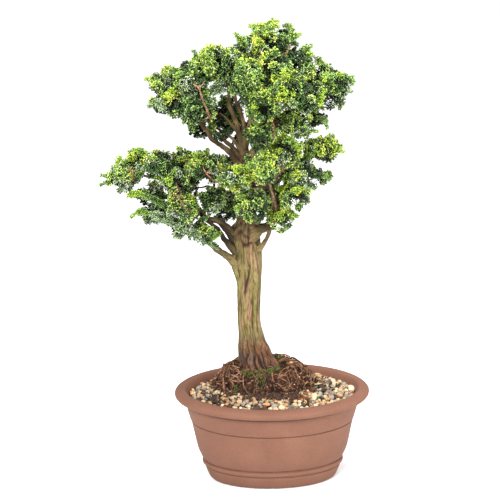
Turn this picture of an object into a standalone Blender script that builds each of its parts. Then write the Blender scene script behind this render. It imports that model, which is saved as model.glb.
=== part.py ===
"""Hinoki cypress bonsai in an oval clay pot, built as closed solids for Blender 4.5.

Sizes below are millimetres. Meshes are written in metres, +Z up. The pot stands at the
middle of the building space, its long side along X and its front towards -Y, until
centre_on_origin moves the whole plant over the origin.
"""
import math
import random

import bmesh
import bpy
from mathutils import Matrix, Vector
from mathutils.bvhtree import BVHTree

MM = 0.001
SEED = 20
WELD = 0.00001
GAP = 0.35

# The pot: an oval, 254 x 174 x 127, as a profile of long half-length and height
SIDES = 36
OVAL_INSET = 40.0
ROUND_CORE = 70.0
FLOOR_TOP = 14.0
POT_INNER = [(0, FLOOR_TOP), (74, FLOOR_TOP), (90, 45), (103, 100), (111.5, 127)]
POT_LIP = [(118, 127.5), (124, 125.5), (127, 122.5), (126.5, 118.5), (122, 115)]
POT_WALL = [(114.5, 113.5), (107.5, 85.5), (105.8, 84.5), (106.3, 83), (100, 50), (98.4, 43)]
POT_BELT = [(92.7, 29.5), (90.8, 25), (92, 23), (90.6, 17), (88, 15.2), (84.3, 13.5)]
POT_FOOT = [(81, 0), (73, 0), (71, 5), (0, 5)]
DRAIN_HOLE_X = 38.0
DRAIN_HOLE_RADIUS = 6.0

# Plastic screens over the drain holes
SCREEN_SIDE = 28.0
SCREEN_THICKNESS = 1.0
SCREEN_CELLS = 3
SCREEN_BAR = 2.5

# Soil in the pot, and the mound of roots and earth that stands out of the gravel
SOIL_TOP = 110.0
MOUND_CENTRE = (-8.0, 19.5)
MOUND_HALF = (71.0, 42.0)
MOUND_SHOULDER = 121.0
MOUND_ROWS = 4
TRUNK_FOOT = (-19.3, 21.8)
PLATEAU = 149.0
PLATEAU_CENTRE = (-11.0, 23.5)
PLATEAU_HALF = (40.0, 29.0)
ROOT_HOLE_RADIUS = 18.6
ROOT_HOLE_FLOOR = 94.0

# Gravel around the mound
GRAVEL_SIDES = 2 * SIDES
GRAVEL_ROWS = 6
GRAVEL_INSIDE_Z = 120.5
GRAVEL_OUTSIDE_Z = 117.0
GRAVEL_STONE = 3.2
GRAVEL_CLEARANCE = 0.8

# The tree was measured on a photograph taken with the camera rolled by a degree, and at a
# pot length of 257; it is set upright and to scale about the middle of the pot's rim
CAMERA_ROLL = math.radians(1.0)
TREE_SCALE = 254.0 / 257.0
RIM_MIDDLE = Vector((0, 0, 120))

# Trunk sections: x, y, z, radius
TRUNK_SIDES = 16
TRUNK = [
    (-20, 22, 95, 15),
    (-20, 22, PLATEAU + 0.2, 16.5),
    (-19, 22, PLATEAU + 1.3, 24.5),
    (-20, 22, 155, 23.3),
    (-22, 22, 162, 21.5),
    (-24.5, 22, 174, 20),
    (-27, 22, 188, 17.5),
    (-30.5, 22, 215, 15.2),
    (-30, 22, 248, 15.7),
    (-29.5, 21, 275, 15.8),
    (-31, 20, 297, 17),
    (-32, 18, 317, 16.2),
    (-35, 16, 337, 16.5),
    (-34, 14, 350, 13),
    (-32, 12, 366, 10.5),
    (-31, 9, 389, 9.5),
    (-33, 7, 415, 8.8),
    (-36, 5, 438, 6),
    (-38, 5, 450, 3.4),
]
FLUTE = 0.055
ROOT_LOBE = 0.1

# Limbs: first and last radius, then points from inside the trunk outwards
LIMBS = {
    "low_left": (4.5, 1.4, [
        (-31, 20, 284), (-42, 18, 290), (-52, 12, 299), (-67, 4, 312), (-74, 0, 320),
        (-90, -4, 332), (-115, -8, 348), (-136, -10, 360)]),
    "low_left_second": (3.4, 1.4, [
        (-31, 19, 299), (-41, 18, 304), (-52, 12, 315), (-62, 6, 329), (-71, 0, 343),
        (-83, -6, 357), (-97, -10, 371)]),
    "left_main": (4.0, 1.5, [
        (-33, 17, 318), (-42, 16, 325), (-51, 10, 339), (-60, 4, 352), (-73, 0, 359),
        (-85, -2, 362), (-96, -4, 376), (-108, -4, 390), (-127, 0, 402), (-148, 0, 410),
        (-172, 0, 416)]),
    "left_main_fork": (2.2, 1.4, [(-88, -3, 365), (-75, 0, 396), (-80, -4, 412)]),
    "front_right": (4.5, 1.9, [
        (-33, 15, 324), (-19, 2, 341), (-11, -6, 347), (-3, -12, 356), (2, -18, 372),
        (1, -22, 387), (-4, -26, 403), (-8, -30, 416)]),
    "front_right_fork": (1.9, 1.3, [(-3, -25, 400), (5, -26, 418), (14, -24, 430)]),
    "right_twig": (2.4, 1.2, [
        (-29, 18, 312), (-17, 10, 319), (-11, 2, 326), (-8, -6, 339), (-3, -9, 352)]),
    "front_centre": (3.3, 1.8, [
        (-34, 14, 334), (-26, 4, 345), (-23, -2, 355), (-27, -12, 368), (-32, -22, 378)]),
    "right_main": (3.6, 1.6, [
        (-32, 10, 375), (-19, 2, 396), (-2, -6, 416), (18, -8, 430), (40, -4, 436)]),
    "left_riser": (4.2, 1.8, [
        (-32, 8, 400), (-38, 6, 414), (-47, 2, 434), (-61, -3, 450), (-76, -6, 462),
        (-86, -8, 478), (-96, -8, 494), (-108, -6, 514)]),
    "centre_riser": (3.6, 1.8, [
        (-37, 5, 438), (-42, 6, 465), (-46, 6, 480), (-53, 6, 496), (-56, 8, 512),
        (-57, 8, 530), (-64, 4, 546)]),
    "second_riser": (3.0, 1.6, [
        (-38, 5, 442), (-37, 10, 469), (-39, 12, 486), (-45, 15, 501), (-47, 18, 518),
        (-40, 20, 540)]),
    "inner_left": (2.4, 1.4, [(-40, 5, 444), (-50, 1, 459), (-61, 0, 468), (-72, 2, 474)]),
    "inner_back_left": (2.4, 1.4, [(-40, 6, 462), (-52, 10, 477), (-66, 20, 489)]),
    "right_riser": (4.0, 1.7, [
        (-34, 6, 425), (-22, 2, 450), (-7, -6, 470), (13, -8, 493), (32, -6, 508),
        (52, 0, 520)]),
    "leader": (3.4, 1.6, [
        (-38, 5, 446), (-29, 6, 479), (-19, 4, 510), (-11, 2, 538), (-7, 6, 560)]),
    "back_riser": (3.2, 1.5, [
        (-35, 6, 424), (-33, 20, 448), (-29, 34, 468), (-30, 44, 492), (-34, 50, 512)]),
    "back_right_riser": (2.6, 1.4, [
        (-8, -4, 472), (6, 12, 488), (18, 28, 502), (26, 40, 512)]),
    "back_left": (3.0, 1.5, [(-33, 12, 364), (-42, 26, 372), (-52, 42, 376), (-84, 50, 388)]),
    "back_right": (3.0, 1.5, [(-32, 11, 372), (-22, 26, 380), (-10, 44, 386), (14, 46, 382)]),
}

# Sprays of foliage: x, y, z of the middle, reach, and how much wider than high
SPRAYS = {
    "top_1": (-11, -8, 581, 29, 1.0),
    "top_2": (11, 8, 575, 26, 1.0),
    "top_back": (-2, 42, 566, 31, 1.0),
    "shoulder_1": (-37, 14, 563, 27, 1.0),
    "shoulder_2": (-68, -15, 557, 29, 1.05),
    "shoulder_back": (-57, 54, 532, 32, 1.0),
    "left_1": (-102, -14, 540, 29, 1.0),
    "left_2": (-132, -5, 529, 25, 1.0),
    "left_3": (-104, 30, 516, 27, 1.0),
    "left_low_1": (-120, -18, 513, 26, 1.0),
    "left_low_tip": (-140, 12, 500, 15, 1.2),
    "left_low_2": (-92, -32, 504, 26, 1.0),
    "left_low_3": (-88, 6, 477, 21, 1.0),
    "mid_1": (-33, -36, 543, 28, 1.0),
    "mid_2": (-3, -28, 552, 28, 1.0),
    "mid_3": (32, -8, 554, 27, 1.0),
    "mid_4": (16, -46, 531, 29, 1.0),
    "mid_back": (-21, 62, 516, 32, 1.0),
    "right_1": (55, 18, 534, 25, 1.0),
    "right_2": (75, -9, 532, 25, 1.0),
    "right_3": (72, 20, 506, 22, 1.0),
    "right_4": (45, -34, 513, 27, 1.0),
    "right_back": (28, 54, 522, 30, 1.0),
    "right_low_1": (25, -16, 483, 26, 1.0),
    "right_low_2": (53, 6, 487, 19, 1.1),
    "centre_1": (-12, -52, 511, 27, 1.0),
    "centre_2": (-15, -37, 474, 25, 1.0),
    "back_low": (-10, 52, 470, 29, 1.0),
    "left_back": (-64, 44, 482, 29, 1.0),
    "far_left_1": (-192, -6, 411, 24, 1.0),
    "far_left_2": (-172, 12, 426, 23, 1.0),
    "far_left_3": (-146, -16, 432, 24, 1.0),
    "left_mid_1": (-156, 6, 387, 20, 1.35),
    "left_mid_2": (-125, -24, 412, 24, 1.0),
    "left_mid_3": (-117, 28, 420, 25, 1.0),
    "left_in_1": (-85, -22, 430, 26, 1.0),
    "left_in_2": (-66, 24, 416, 25, 1.0),
    "frond_1": (-148, -13, 365, 18, 1.3),
    "frond_2": (-118, -20, 357, 21, 1.0),
    "frond_3": (-92, -10, 340, 17, 1.1),
    "left_low_4": (-112, -26, 379, 25, 1.0),
    "left_low_5": (-79, -9, 384, 21, 1.1),
    "centre_low_1": (-46, -46, 421, 26, 1.0),
    "centre_low_2": (-28, -52, 391, 26, 1.0),
    "centre_low_3": (-14, -58, 440, 26, 1.0),
    "right_up_1": (13, -34, 451, 26, 1.0),
    "right_up_2": (60, -6, 447, 24, 1.1),
    "right_mid_1": (29, -17, 421, 27, 1.0),
    "right_mid_2": (54, 14, 408, 18, 1.1),
    "right_mid_3": (24, -32, 396, 24, 1.0),
    "right_mid_4": (10, -24, 365, 19, 1.1),
    "back_1": (-66, 50, 362, 29, 1.0),
    "back_2": (0, 50, 369, 30, 1.0),
    "back_3": (-110, 50, 390, 26, 1.0),
}
FOLIAGE_COLOURS = (
    ("yellow_green", (150, 186, 62)),
    ("green", (96, 142, 62)),
    ("blue_green", (104, 146, 104)),
)
CORE_SHARE = 0.45
CORE_SPIN = 1.1
CORE_TIP = 0.5

# A fan: three tips and two notches as (share of its reach, angle), and its thick rib
FANS = 10
FAN_OUTLINE = ((0.98, 0.68), (0.84, 0.31), (1.12, 0.03), (0.86, -0.33), (0.97, -0.7))
FAN_RIB_PLACE = 0.52
FAN_RIB = 0.9
FAN_CLEARANCE = 0.7
FAN_SCALES = (1.0, 0.85, 0.7, 0.55)
FAN_LOWEST = -0.8

TWIG_BASE = 1.5
TWIG_END = 1.0
TWIG_SAG = 0.12
TWIG_MARGIN = 1.8


def clear_scene():
    """Remove whatever the open file holds."""
    for obj in list(bpy.data.objects):
        bpy.data.objects.remove(obj, do_unlink=True)
    for collection in list(bpy.data.collections):
        bpy.data.collections.remove(collection)


def new_collection(name):
    """A collection of the scene."""
    collection = bpy.data.collections.new(name)
    bpy.context.scene.collection.children.link(collection)
    return collection


def linear(channel):
    """One 0-255 colour channel as a linear value."""
    share = channel / 255
    if share <= 0.04045:
        return share / 12.92
    return ((share + 0.055) / 1.055) ** 2.4


def material(name, colour, roughness):
    """A plain, non-metallic material."""
    made = bpy.data.materials.new(name)
    made.use_nodes = True
    shader = made.node_tree.nodes["Principled BSDF"]
    shader.inputs["Base Color"].default_value = [linear(c) for c in colour] + [1.0]
    shader.inputs["Roughness"].default_value = roughness
    shader.inputs["Metallic"].default_value = 0.0
    return made


def add_object(name, mesh, collection, finish=None, place=(0, 0, 0)):
    """An object for a mesh, standing at a place in millimetres."""
    obj = bpy.data.objects.new(name, mesh)
    obj.location = Vector(place) * MM
    collection.objects.link(obj)
    if finish:
        mesh.materials.clear()
        mesh.materials.append(finish)
    return obj


def mesh_from(name, points, faces):
    """A mesh of points in millimetres, its faces turned outwards."""
    mesh = bpy.data.meshes.new(name)
    mesh.from_pydata([Vector(p) * MM for p in points], [], faces)
    bm = bmesh.new()
    bm.from_mesh(mesh)
    bmesh.ops.recalc_face_normals(bm, faces=bm.faces)
    bm.to_mesh(mesh)
    bm.free()
    return mesh


def evaluated_mesh(obj):
    """The mesh that an object's modifiers or curve settings give."""
    bpy.context.view_layer.update()
    graph = bpy.context.evaluated_depsgraph_get()
    return bpy.data.meshes.new_from_object(obj.evaluated_get(graph))


def real(x, y, z):
    """A point of the tree as measured, set upright and to scale."""
    upright = Matrix.Rotation(CAMERA_ROLL, 3, "Y")
    return upright @ (Vector((x, y, z)) - RIM_MIDDLE) * TREE_SCALE + RIM_MIDDLE


def oval_point(radius, angle, z):
    """A point of the pot's oval, whose short half-width is OVAL_INSET less than the long one."""
    short = radius - OVAL_INSET
    if radius < ROUND_CORE:
        short = radius * (ROUND_CORE - OVAL_INSET) / ROUND_CORE
    return (radius * math.cos(angle), short * math.sin(angle), z)


def oval_ring(radius, z, sides=SIDES):
    """A ring of the pot's oval."""
    return [oval_point(radius, math.tau * i / sides, z) for i in range(sides)]


def ellipse_ring(centre, half, z, sides=SIDES, bump=None):
    """A ring of an ellipse, each point pushed in or out by bump(angle)."""
    ring = []
    for i in range(sides):
        angle = math.tau * i / sides
        push = bump(angle) if bump else 0.0
        x = centre[0] + (half[0] + push) * math.cos(angle)
        y = centre[1] + (half[1] + push) * math.sin(angle)
        ring.append((x, y, z))
    return ring


def middle(ring):
    """The mean of a ring's points."""
    total = Vector((0, 0, 0))
    for point in ring:
        total += Vector(point)
    return total / len(ring)


def loft(name, rings, closed=False):
    """Skin a list of rings; the ends are fans to their middles, or joined when closed."""
    sides = len(rings[0])
    points = [p for ring in rings for p in ring]
    spans = len(rings) if closed else len(rings) - 1
    faces = []
    for row in range(spans):
        here = row * sides
        above = (row + 1) % len(rings) * sides
        for i in range(sides):
            j = (i + 1) % sides
            faces.append((here + i, here + j, above + j))
            faces.append((here + i, above + j, above + i))
    if not closed:
        for start, ring in ((0, rings[0]), ((len(rings) - 1) * sides, rings[-1])):
            points.append(middle(ring))
            centre = len(points) - 1
            for i in range(sides):
                faces.append((start + i, start + (i + 1) % sides, centre))
    return mesh_from(name, points, faces)


def inner_wall(z):
    """The pot's inner half-length at a height, between the points of its profile."""
    for (r0, z0), (r1, z1) in zip(POT_INNER[1:], POT_INNER[2:]):
        if z <= z1:
            return r0 + (r1 - r0) * (z - z0) / (z1 - z0)
    return POT_INNER[-1][0]


def cut(obj, cutter):
    """Take a cutter's shape out of an object."""
    boolean = obj.modifiers.new("cut_" + cutter.name, "BOOLEAN")
    boolean.operation = "DIFFERENCE"
    boolean.object = cutter


def hide_cutter(cutter):
    """Show a cutter as wire only."""
    cutter.hide_render = True
    cutter.display_type = "WIRE"


def fuse(name, meshes, collection, finish):
    """Join closed meshes into one solid with one Boolean union on a collection."""
    others = new_collection(name + "_pieces")
    for number, mesh in enumerate(meshes[1:]):
        add_object(f"{name}_piece_{number}", mesh, others)
    body = add_object(name, meshes[0], collection)
    union = body.modifiers.new("union", "BOOLEAN")
    union.operation = "UNION"
    union.operand_type = "COLLECTION"
    union.collection = others
    union.solver = "MANIFOLD"
    joined = evaluated_mesh(body)
    joined.name = name
    for piece in list(others.objects) + [body]:
        bpy.data.objects.remove(piece, do_unlink=True)
    bpy.data.collections.remove(others)
    return add_object(name, joined, collection, finish)


def turned_oval(name, profile):
    """Turn a profile of (radius, height) and press it into the pot's oval."""
    outline = bpy.data.meshes.new(name + "_profile")
    edges = [(i, i + 1) for i in range(len(profile) - 1)]
    outline.from_pydata([(r * MM, 0, z * MM) for r, z in profile], edges, [])
    lathe = add_object(name + "_lathe", outline, bpy.context.scene.collection)
    screw = lathe.modifiers.new("turn", "SCREW")
    screw.steps = SIDES
    screw.render_steps = SIDES
    screw.use_merge_vertices = True
    screw.merge_threshold = WELD
    mesh = evaluated_mesh(lathe)
    bpy.data.objects.remove(lathe, do_unlink=True)
    for vertex in mesh.vertices:
        radius = math.hypot(vertex.co.x, vertex.co.y) / MM
        angle = math.atan2(vertex.co.y, vertex.co.x)
        vertex.co = Vector(oval_point(radius, angle, vertex.co.z / MM)) * MM
    mesh.name = name
    mesh.shade_smooth()
    return mesh


def build_pot(parts, cutters):
    """The oval pot with its lip, belt and foot, and two drain holes."""
    clay = material("unglazed_clay", (184, 134, 112), 0.72)
    profile = POT_INNER + POT_LIP + POT_WALL + POT_BELT + POT_FOOT
    pot = add_object("pot", turned_oval("pot", profile), parts, clay)
    for side, x in (("left", -DRAIN_HOLE_X), ("right", DRAIN_HOLE_X)):
        bpy.ops.mesh.primitive_cylinder_add(
            vertices=16, radius=DRAIN_HOLE_RADIUS * MM, depth=4 * FLOOR_TOP * MM,
            location=(x * MM, 0, 0))
        drill = bpy.context.object
        drill.name = "drain_drill_" + side
        bpy.context.collection.objects.unlink(drill)
        cutters.objects.link(drill)
        hide_cutter(drill)
        cut(pot, drill)
    return pot


def square_spline(curve, centre, half):
    """Add a closed square to a flat curve."""
    spline = curve.splines.new("POLY")
    spline.points.add(3)
    corners = ((-half, -half), (half, -half), (half, half), (-half, half))
    for point, (x, y) in zip(spline.points, corners):
        point.co = ((centre[0] + x) * MM, (centre[1] + y) * MM, 0, 1)
    spline.use_cyclic_u = True


def build_screen(side, x, parts, plastic):
    """A square of plastic mesh lying over a drain hole."""
    curve = bpy.data.curves.new("screen_outline", "CURVE")
    curve.dimensions = "2D"
    curve.fill_mode = "BOTH"
    curve.extrude = SCREEN_THICKNESS / 2 * MM
    square_spline(curve, (0, 0), SCREEN_SIDE / 2)
    hole = (SCREEN_SIDE - SCREEN_BAR * (SCREEN_CELLS + 1)) / SCREEN_CELLS
    pitch = hole + SCREEN_BAR
    offset = (SCREEN_CELLS - 1) / 2
    for row in range(SCREEN_CELLS):
        for column in range(SCREEN_CELLS):
            centre = ((column - offset) * pitch, (row - offset) * pitch)
            square_spline(curve, centre, hole / 2)
    lattice = add_object("screen_curve", curve, bpy.context.scene.collection)
    mesh = evaluated_mesh(lattice)
    bpy.data.objects.remove(lattice, do_unlink=True)
    weld(mesh)
    height = FLOOR_TOP + GAP + SCREEN_THICKNESS / 2
    return add_object("drain_screen_" + side, mesh, parts, plastic, (x, 0, height))


def weld(mesh):
    """Close a converted curve's caps."""
    bm = bmesh.new()
    bm.from_mesh(mesh)
    bmesh.ops.remove_doubles(bm, verts=bm.verts, dist=WELD)
    bmesh.ops.recalc_face_normals(bm, faces=bm.faces)
    bm.to_mesh(mesh)
    bm.free()


def mound_bump(row):
    """Lumps of roots and earth: a wavy push for one row of the mound."""
    def push(angle):
        return (1.6 * math.sin(5 * angle + 1.3 * row)
                + 1.2 * math.sin(9 * angle - 2.1 * row)
                + 0.8 * math.sin(14 * angle + 0.7 * row))
    return push


def build_soil(parts, cutters):
    """Soil that fills the pot, with the mound on top and a plain hole for the roots."""
    earth = material("root_mound_soil", (109, 80, 61), 0.95)
    rings = [oval_ring(inner_wall(FLOOR_TOP) - 2 * GAP, FLOOR_TOP + GAP)]
    for z in (45, 100, SOIL_TOP):
        rings.append(oval_ring(inner_wall(z) - GAP, z))
    rings.append(ellipse_ring(MOUND_CENTRE, MOUND_HALF, SOIL_TOP))
    rings.append(ellipse_ring(MOUND_CENTRE, MOUND_HALF, MOUND_SHOULDER))
    for row in range(1, MOUND_ROWS + 1):
        share = row / MOUND_ROWS
        centre = [a + (b - a) * share for a, b in zip(MOUND_CENTRE, PLATEAU_CENTRE)]
        half = [a + (b - a) * share for a, b in zip(MOUND_HALF, PLATEAU_HALF)]
        climb = (PLATEAU - MOUND_SHOULDER) * math.sin(share * math.pi / 2)
        bump = mound_bump(row) if row < MOUND_ROWS else None
        rings.append(ellipse_ring(centre, half, MOUND_SHOULDER + climb, bump=bump))
    hole = (ROOT_HOLE_RADIUS, ROOT_HOLE_RADIUS)
    rings.append(ellipse_ring(TRUNK_FOOT, hole, PLATEAU))
    rings.append(ellipse_ring(TRUNK_FOOT, hole, ROOT_HOLE_FLOOR))
    soil = add_object("soil_mound", loft("soil_mound", rings), parts, earth)
    recess = (SCREEN_SIDE + 2 * GAP) * MM
    height = 2 * (SCREEN_THICKNESS + 2 * GAP) * MM
    for side, x in (("left", -DRAIN_HOLE_X), ("right", DRAIN_HOLE_X)):
        bpy.ops.mesh.primitive_cube_add(
            size=1, location=(x * MM, 0, FLOOR_TOP * MM), scale=(recess, recess, height))
        block = bpy.context.object
        block.name = "screen_recess_" + side
        bpy.context.collection.objects.unlink(block)
        cutters.objects.link(block)
        hide_cutter(block)
        cut(soil, block)
    return soil


def gravel_height(share, row, column, rng):
    """Top of the gravel: a gentle slope with a stone on every other point of the grid."""
    slope = GRAVEL_INSIDE_Z + (GRAVEL_OUTSIDE_Z - GRAVEL_INSIDE_Z) * share
    stone = GRAVEL_STONE if (row + column) % 2 else 0.0
    return slope + stone * rng.uniform(0.55, 1.0)


def build_gravel(parts):
    """The gravel top dressing: a ring of stones raised by formula between mound and pot."""
    stones = material("gravel", (190, 172, 146), 0.9)
    rng = random.Random(SEED)
    under = SOIL_TOP + GAP
    inside = [h + GRAVEL_CLEARANCE for h in MOUND_HALF]
    inner_low = ellipse_ring(MOUND_CENTRE, inside, under, GRAVEL_SIDES)
    inner_top = ellipse_ring(MOUND_CENTRE, inside, GRAVEL_INSIDE_Z, GRAVEL_SIDES)
    outer_low = oval_ring(inner_wall(under) - GRAVEL_CLEARANCE, under, GRAVEL_SIDES)
    outer_top = oval_ring(
        inner_wall(GRAVEL_OUTSIDE_Z) - GRAVEL_CLEARANCE, GRAVEL_OUTSIDE_Z, GRAVEL_SIDES)
    rings = [outer_low, inner_low, inner_top]
    for row in range(1, GRAVEL_ROWS):
        share = row / GRAVEL_ROWS
        ring = []
        for column, (a, b) in enumerate(zip(inner_top, outer_top)):
            along = share + rng.uniform(-0.25, 0.25) / GRAVEL_ROWS
            x = a[0] + (b[0] - a[0]) * along
            y = a[1] + (b[1] - a[1]) * along
            ring.append((x, y, gravel_height(share, row, column, rng)))
        rings.append(ring)
    rings.append(outer_top)
    return add_object("gravel", loft("gravel", rings, closed=True), parts, stones)


def trunk_ring(x, y, z, radius):
    """One fluted section of the trunk, its roots spread at the foot."""
    foot = max(0.0, 1 - abs(z - PLATEAU - 8) / 22)
    ring = []
    for i in range(TRUNK_SIDES):
        angle = math.tau * i / TRUNK_SIDES
        flute = math.sin(4 * angle + z / 45) + 0.6 * math.sin(7 * angle - z / 60)
        lobe = math.sin(3 * angle + 0.6)
        scale = 1 + FLUTE * flute * min(1, radius / 12) + ROOT_LOBE * lobe * foot
        if z < PLATEAU + 2 * GAP:
            scale = 1.0
        offset = Vector((math.cos(angle), math.sin(angle), 0)) * radius * scale
        ring.append(real(x, y, z) + offset)
    return ring


def tube(points, first, last, resolution):
    """A closed tube along points, its radius falling from first to last."""
    curve = bpy.data.curves.new("tube", "CURVE")
    curve.dimensions = "3D"
    curve.bevel_depth = MM
    curve.bevel_resolution = resolution
    curve.use_fill_caps = True
    spline = curve.splines.new("POLY")
    spline.points.add(len(points) - 1)
    for number, (point, place) in enumerate(zip(spline.points, points)):
        point.co = (*(Vector(place) * MM), 1)
        point.radius = first + (last - first) * number / (len(points) - 1)
    holder = add_object("tube", curve, bpy.context.scene.collection)
    mesh = evaluated_mesh(holder)
    bpy.data.objects.remove(holder, do_unlink=True)
    weld(mesh)
    return mesh


def limb_points():
    """Every limb's points with the radius there, for twigs to grow from."""
    found = []
    for first, last, points in LIMBS.values():
        count = len(points)
        for number in range(2, count):
            here = Vector(real(*points[number]))
            before = Vector(real(*points[number - 1]))
            radius = first + (last - first) * number / (count - 1)
            found.append((before.lerp(here, 0.5), radius))
            found.append((here, radius))
    return found


def limb_lines():
    """Every limb's straight stretches: two ends and the thicker radius."""
    lines = []
    for first, last, points in LIMBS.values():
        placed = [real(*p) for p in points]
        count = len(points)
        for number in range(count - 1):
            radius = first + (last - first) * number / (count - 1)
            lines.append((placed[number], placed[number + 1], radius))
    for lower, upper in zip(TRUNK, TRUNK[1:]):
        lines.append((real(*lower[:3]), real(*upper[:3]), max(lower[3], upper[3]) * 1.12))
    return lines


def distance_to_line(point, start, end):
    """Distance from a point to a straight stretch."""
    along = end - start
    share = max(0.0, min(1.0, (point - start).dot(along) / along.length_squared))
    return (point - start - along * share).length


def place_cores():
    """Middle and radius of each spray's core, smaller where wood or another core is near."""
    lines = limb_lines()
    cores = {}
    for name, (x, y, z, reach, wide) in SPRAYS.items():
        centre = real(x, y, z)
        radius = reach * CORE_SHARE
        for start, end, thick in lines:
            room = distance_to_line(centre, start, end) - thick - TWIG_MARGIN
            radius = min(radius, room / max(1, wide))
        for other, other_radius in cores.values():
            radius = min(radius, (centre - other).length - other_radius * 1.2 - TWIG_MARGIN)
        cores[name] = (centre, radius)
    return cores


def twig_route(name, cores, starts):
    """Points of a bent twig from the nearest limb with a clear way to a spray's core."""
    centre, radius = cores[name]
    for start, thick in sorted(starts, key=lambda s: (s[0] - centre).length):
        clear = True
        for other, (middle_point, size) in cores.items():
            if other != name and distance_to_line(middle_point, start, centre) < size * 1.2 + TWIG_MARGIN:
                clear = False
        if clear:
            break
    away = (start - centre).normalized()
    near = centre + away * radius * 1.4
    way = (start - near).length
    bend = start.lerp(near, 0.5) - Vector((0, 0, way * TWIG_SAG))
    arrive = (bend - centre).normalized()
    return start, bend, arrive, min(thick, TWIG_BASE)


def core_shape(name, radius):
    """The small inner core of a spray, turned its own way, before it is widened."""
    number = list(SPRAYS).index(name)
    bm = bmesh.new()
    bmesh.ops.create_icosphere(bm, subdivisions=1, radius=radius * MM)
    spin = Matrix.Rotation(number * CORE_SPIN, 4, "Z")
    tip = Matrix.Rotation(math.sin(number) * CORE_TIP, 4, "X")
    bmesh.ops.transform(bm, matrix=spin @ tip, verts=bm.verts)
    bm.normal_update()
    return bm


def core_tree(name, core, grow=0.0):
    """A search tree of a spray's core, grown by a margin."""
    centre, radius = core
    wide = SPRAYS[name][4]
    bm = core_shape(name, radius + grow)
    points = [v.co / MM for v in bm.verts]
    faces = [tuple(v.index for v in f.verts) for f in bm.faces]
    bm.free()
    return tree_of(widened(points, wide, centre), faces)


def tree_of(points, faces):
    """A search tree of triangles in millimetres."""
    return BVHTree.FromPolygons([tuple(p) for p in points], faces)


def tree_of_mesh(mesh, place=(0, 0, 0)):
    """A search tree of a mesh, in millimetres."""
    mesh.calc_loop_triangles()
    points = [v.co / MM + Vector(place) for v in mesh.vertices]
    return tree_of(points, [tuple(t.vertices) for t in mesh.loop_triangles])


def build_wood(parts, cores):
    """Trunk, limbs and twigs, grown as one piece."""
    bark = material("bark", (160, 134, 100), 0.9)
    meshes = [loft("trunk", [trunk_ring(*section) for section in TRUNK])]
    for first, last, points in LIMBS.values():
        meshes.append(tube([real(*p) for p in points], first, last, 1))
    starts = limb_points()
    for name, (centre, radius) in cores.items():
        start, bend, arrive, thick = twig_route(name, cores, starts)
        core = core_tree(name, (centre, radius))
        side = arrive.orthogonal().normalized()
        other = arrive.cross(side)
        reach = 0.0
        for corner in (side, -side, other, -other, side * 0):
            begin = centre + arrive * radius * 3 + corner * TWIG_END
            hit, _, _, far = core.ray_cast(begin, -arrive)
            if hit:
                reach = max(reach, radius * 3 - far)
        end = centre + arrive * (reach + GAP)
        meshes.append(tube([start, bend, end], thick, TWIG_END, 0))
    return fuse("trunk_and_branches", meshes, parts, bark)


def fan_points(corners, reach, curl, grow=0.0):
    """One leafy fan on a core's face: three corners, five outline points, and the rib's two."""
    a, b, c = corners
    direction = (a + b + c).normalized()
    side = (a - b).normalized()
    up = (c - (a + b) / 2).normalized()
    points = [a, b, c]
    for share, angle in FAN_OUTLINE:
        length = share * reach + grow
        lift = curl * reach * share * share
        flat = direction * math.cos(angle) + side * math.sin(angle)
        points.append(flat * length + up * lift)
    rib = direction * reach * FAN_RIB_PLACE + up * curl * reach * FAN_RIB_PLACE ** 2
    points.append(rib + up * (FAN_RIB + grow))
    points.append(rib - up * (FAN_RIB + grow))
    return points


def fan_faces():
    """A fan's free triangles, and those that join it to its face's corners."""
    above, below = 8, 9
    free = []
    for i in range(3, 7):
        free += [(i, i + 1, above), (i + 1, i, below)]
    root = [(0, 3, above), (3, 0, below), (7, 1, above), (1, 7, below)]
    root += [(1, 2, above), (2, 0, above), (0, 1, below)]
    return free, root


def raise_fan(bm, face, points):
    """Raise one fan from a face of the core."""
    free, root = fan_faces()
    corners = list(face.verts)
    known = [min(corners, key=lambda v: (v.co - p * MM).length) for p in points[:3]]
    bmesh.ops.delete(bm, geom=[face], context="FACES_ONLY")
    verts = known + [bm.verts.new(p * MM) for p in points[3:]]
    for triangle in free + root:
        bm.faces.new([verts[i] for i in triangle])


def widened(points, wide, centre):
    """Points about a spray's middle, made wider sideways and set in place."""
    return [Vector((p.x * wide, p.y, p.z)) + centre for p in points]


def find_fan(corners, limits, place, obstacles, own, rng):
    """The longest fan on a face that meets no other solid and no other fan of its spray."""
    reach, shortest = limits
    wide, centre = place
    free, root = fan_faces()
    curl = rng.uniform(-0.2, 0.1)
    first = rng.randrange(3)
    for scale in FAN_SCALES:
        length = reach * scale * rng.uniform(0.93, 1.0)
        if length < shortest:
            return None
        for turn_number in range(3):
            shift = (first + turn_number) % 3
            chosen = corners[shift:] + corners[:shift]
            points = fan_points(chosen, length, curl)
            bare = widened(points, wide, centre)
            wider = widened(fan_points(chosen, length, curl, FAN_CLEARANCE), wide, centre)
            around = tree_of(wider, free + root)
            outer = tree_of(wider, free)
            whole = tree_of(bare, free + root)
            if any(around.overlap(solid) for solid in obstacles):
                continue
            if any(outer.overlap(fan[0]) or whole.overlap(fan[1]) for fan in own):
                continue
            own.append((whole, outer))
            return points
    return None


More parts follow.
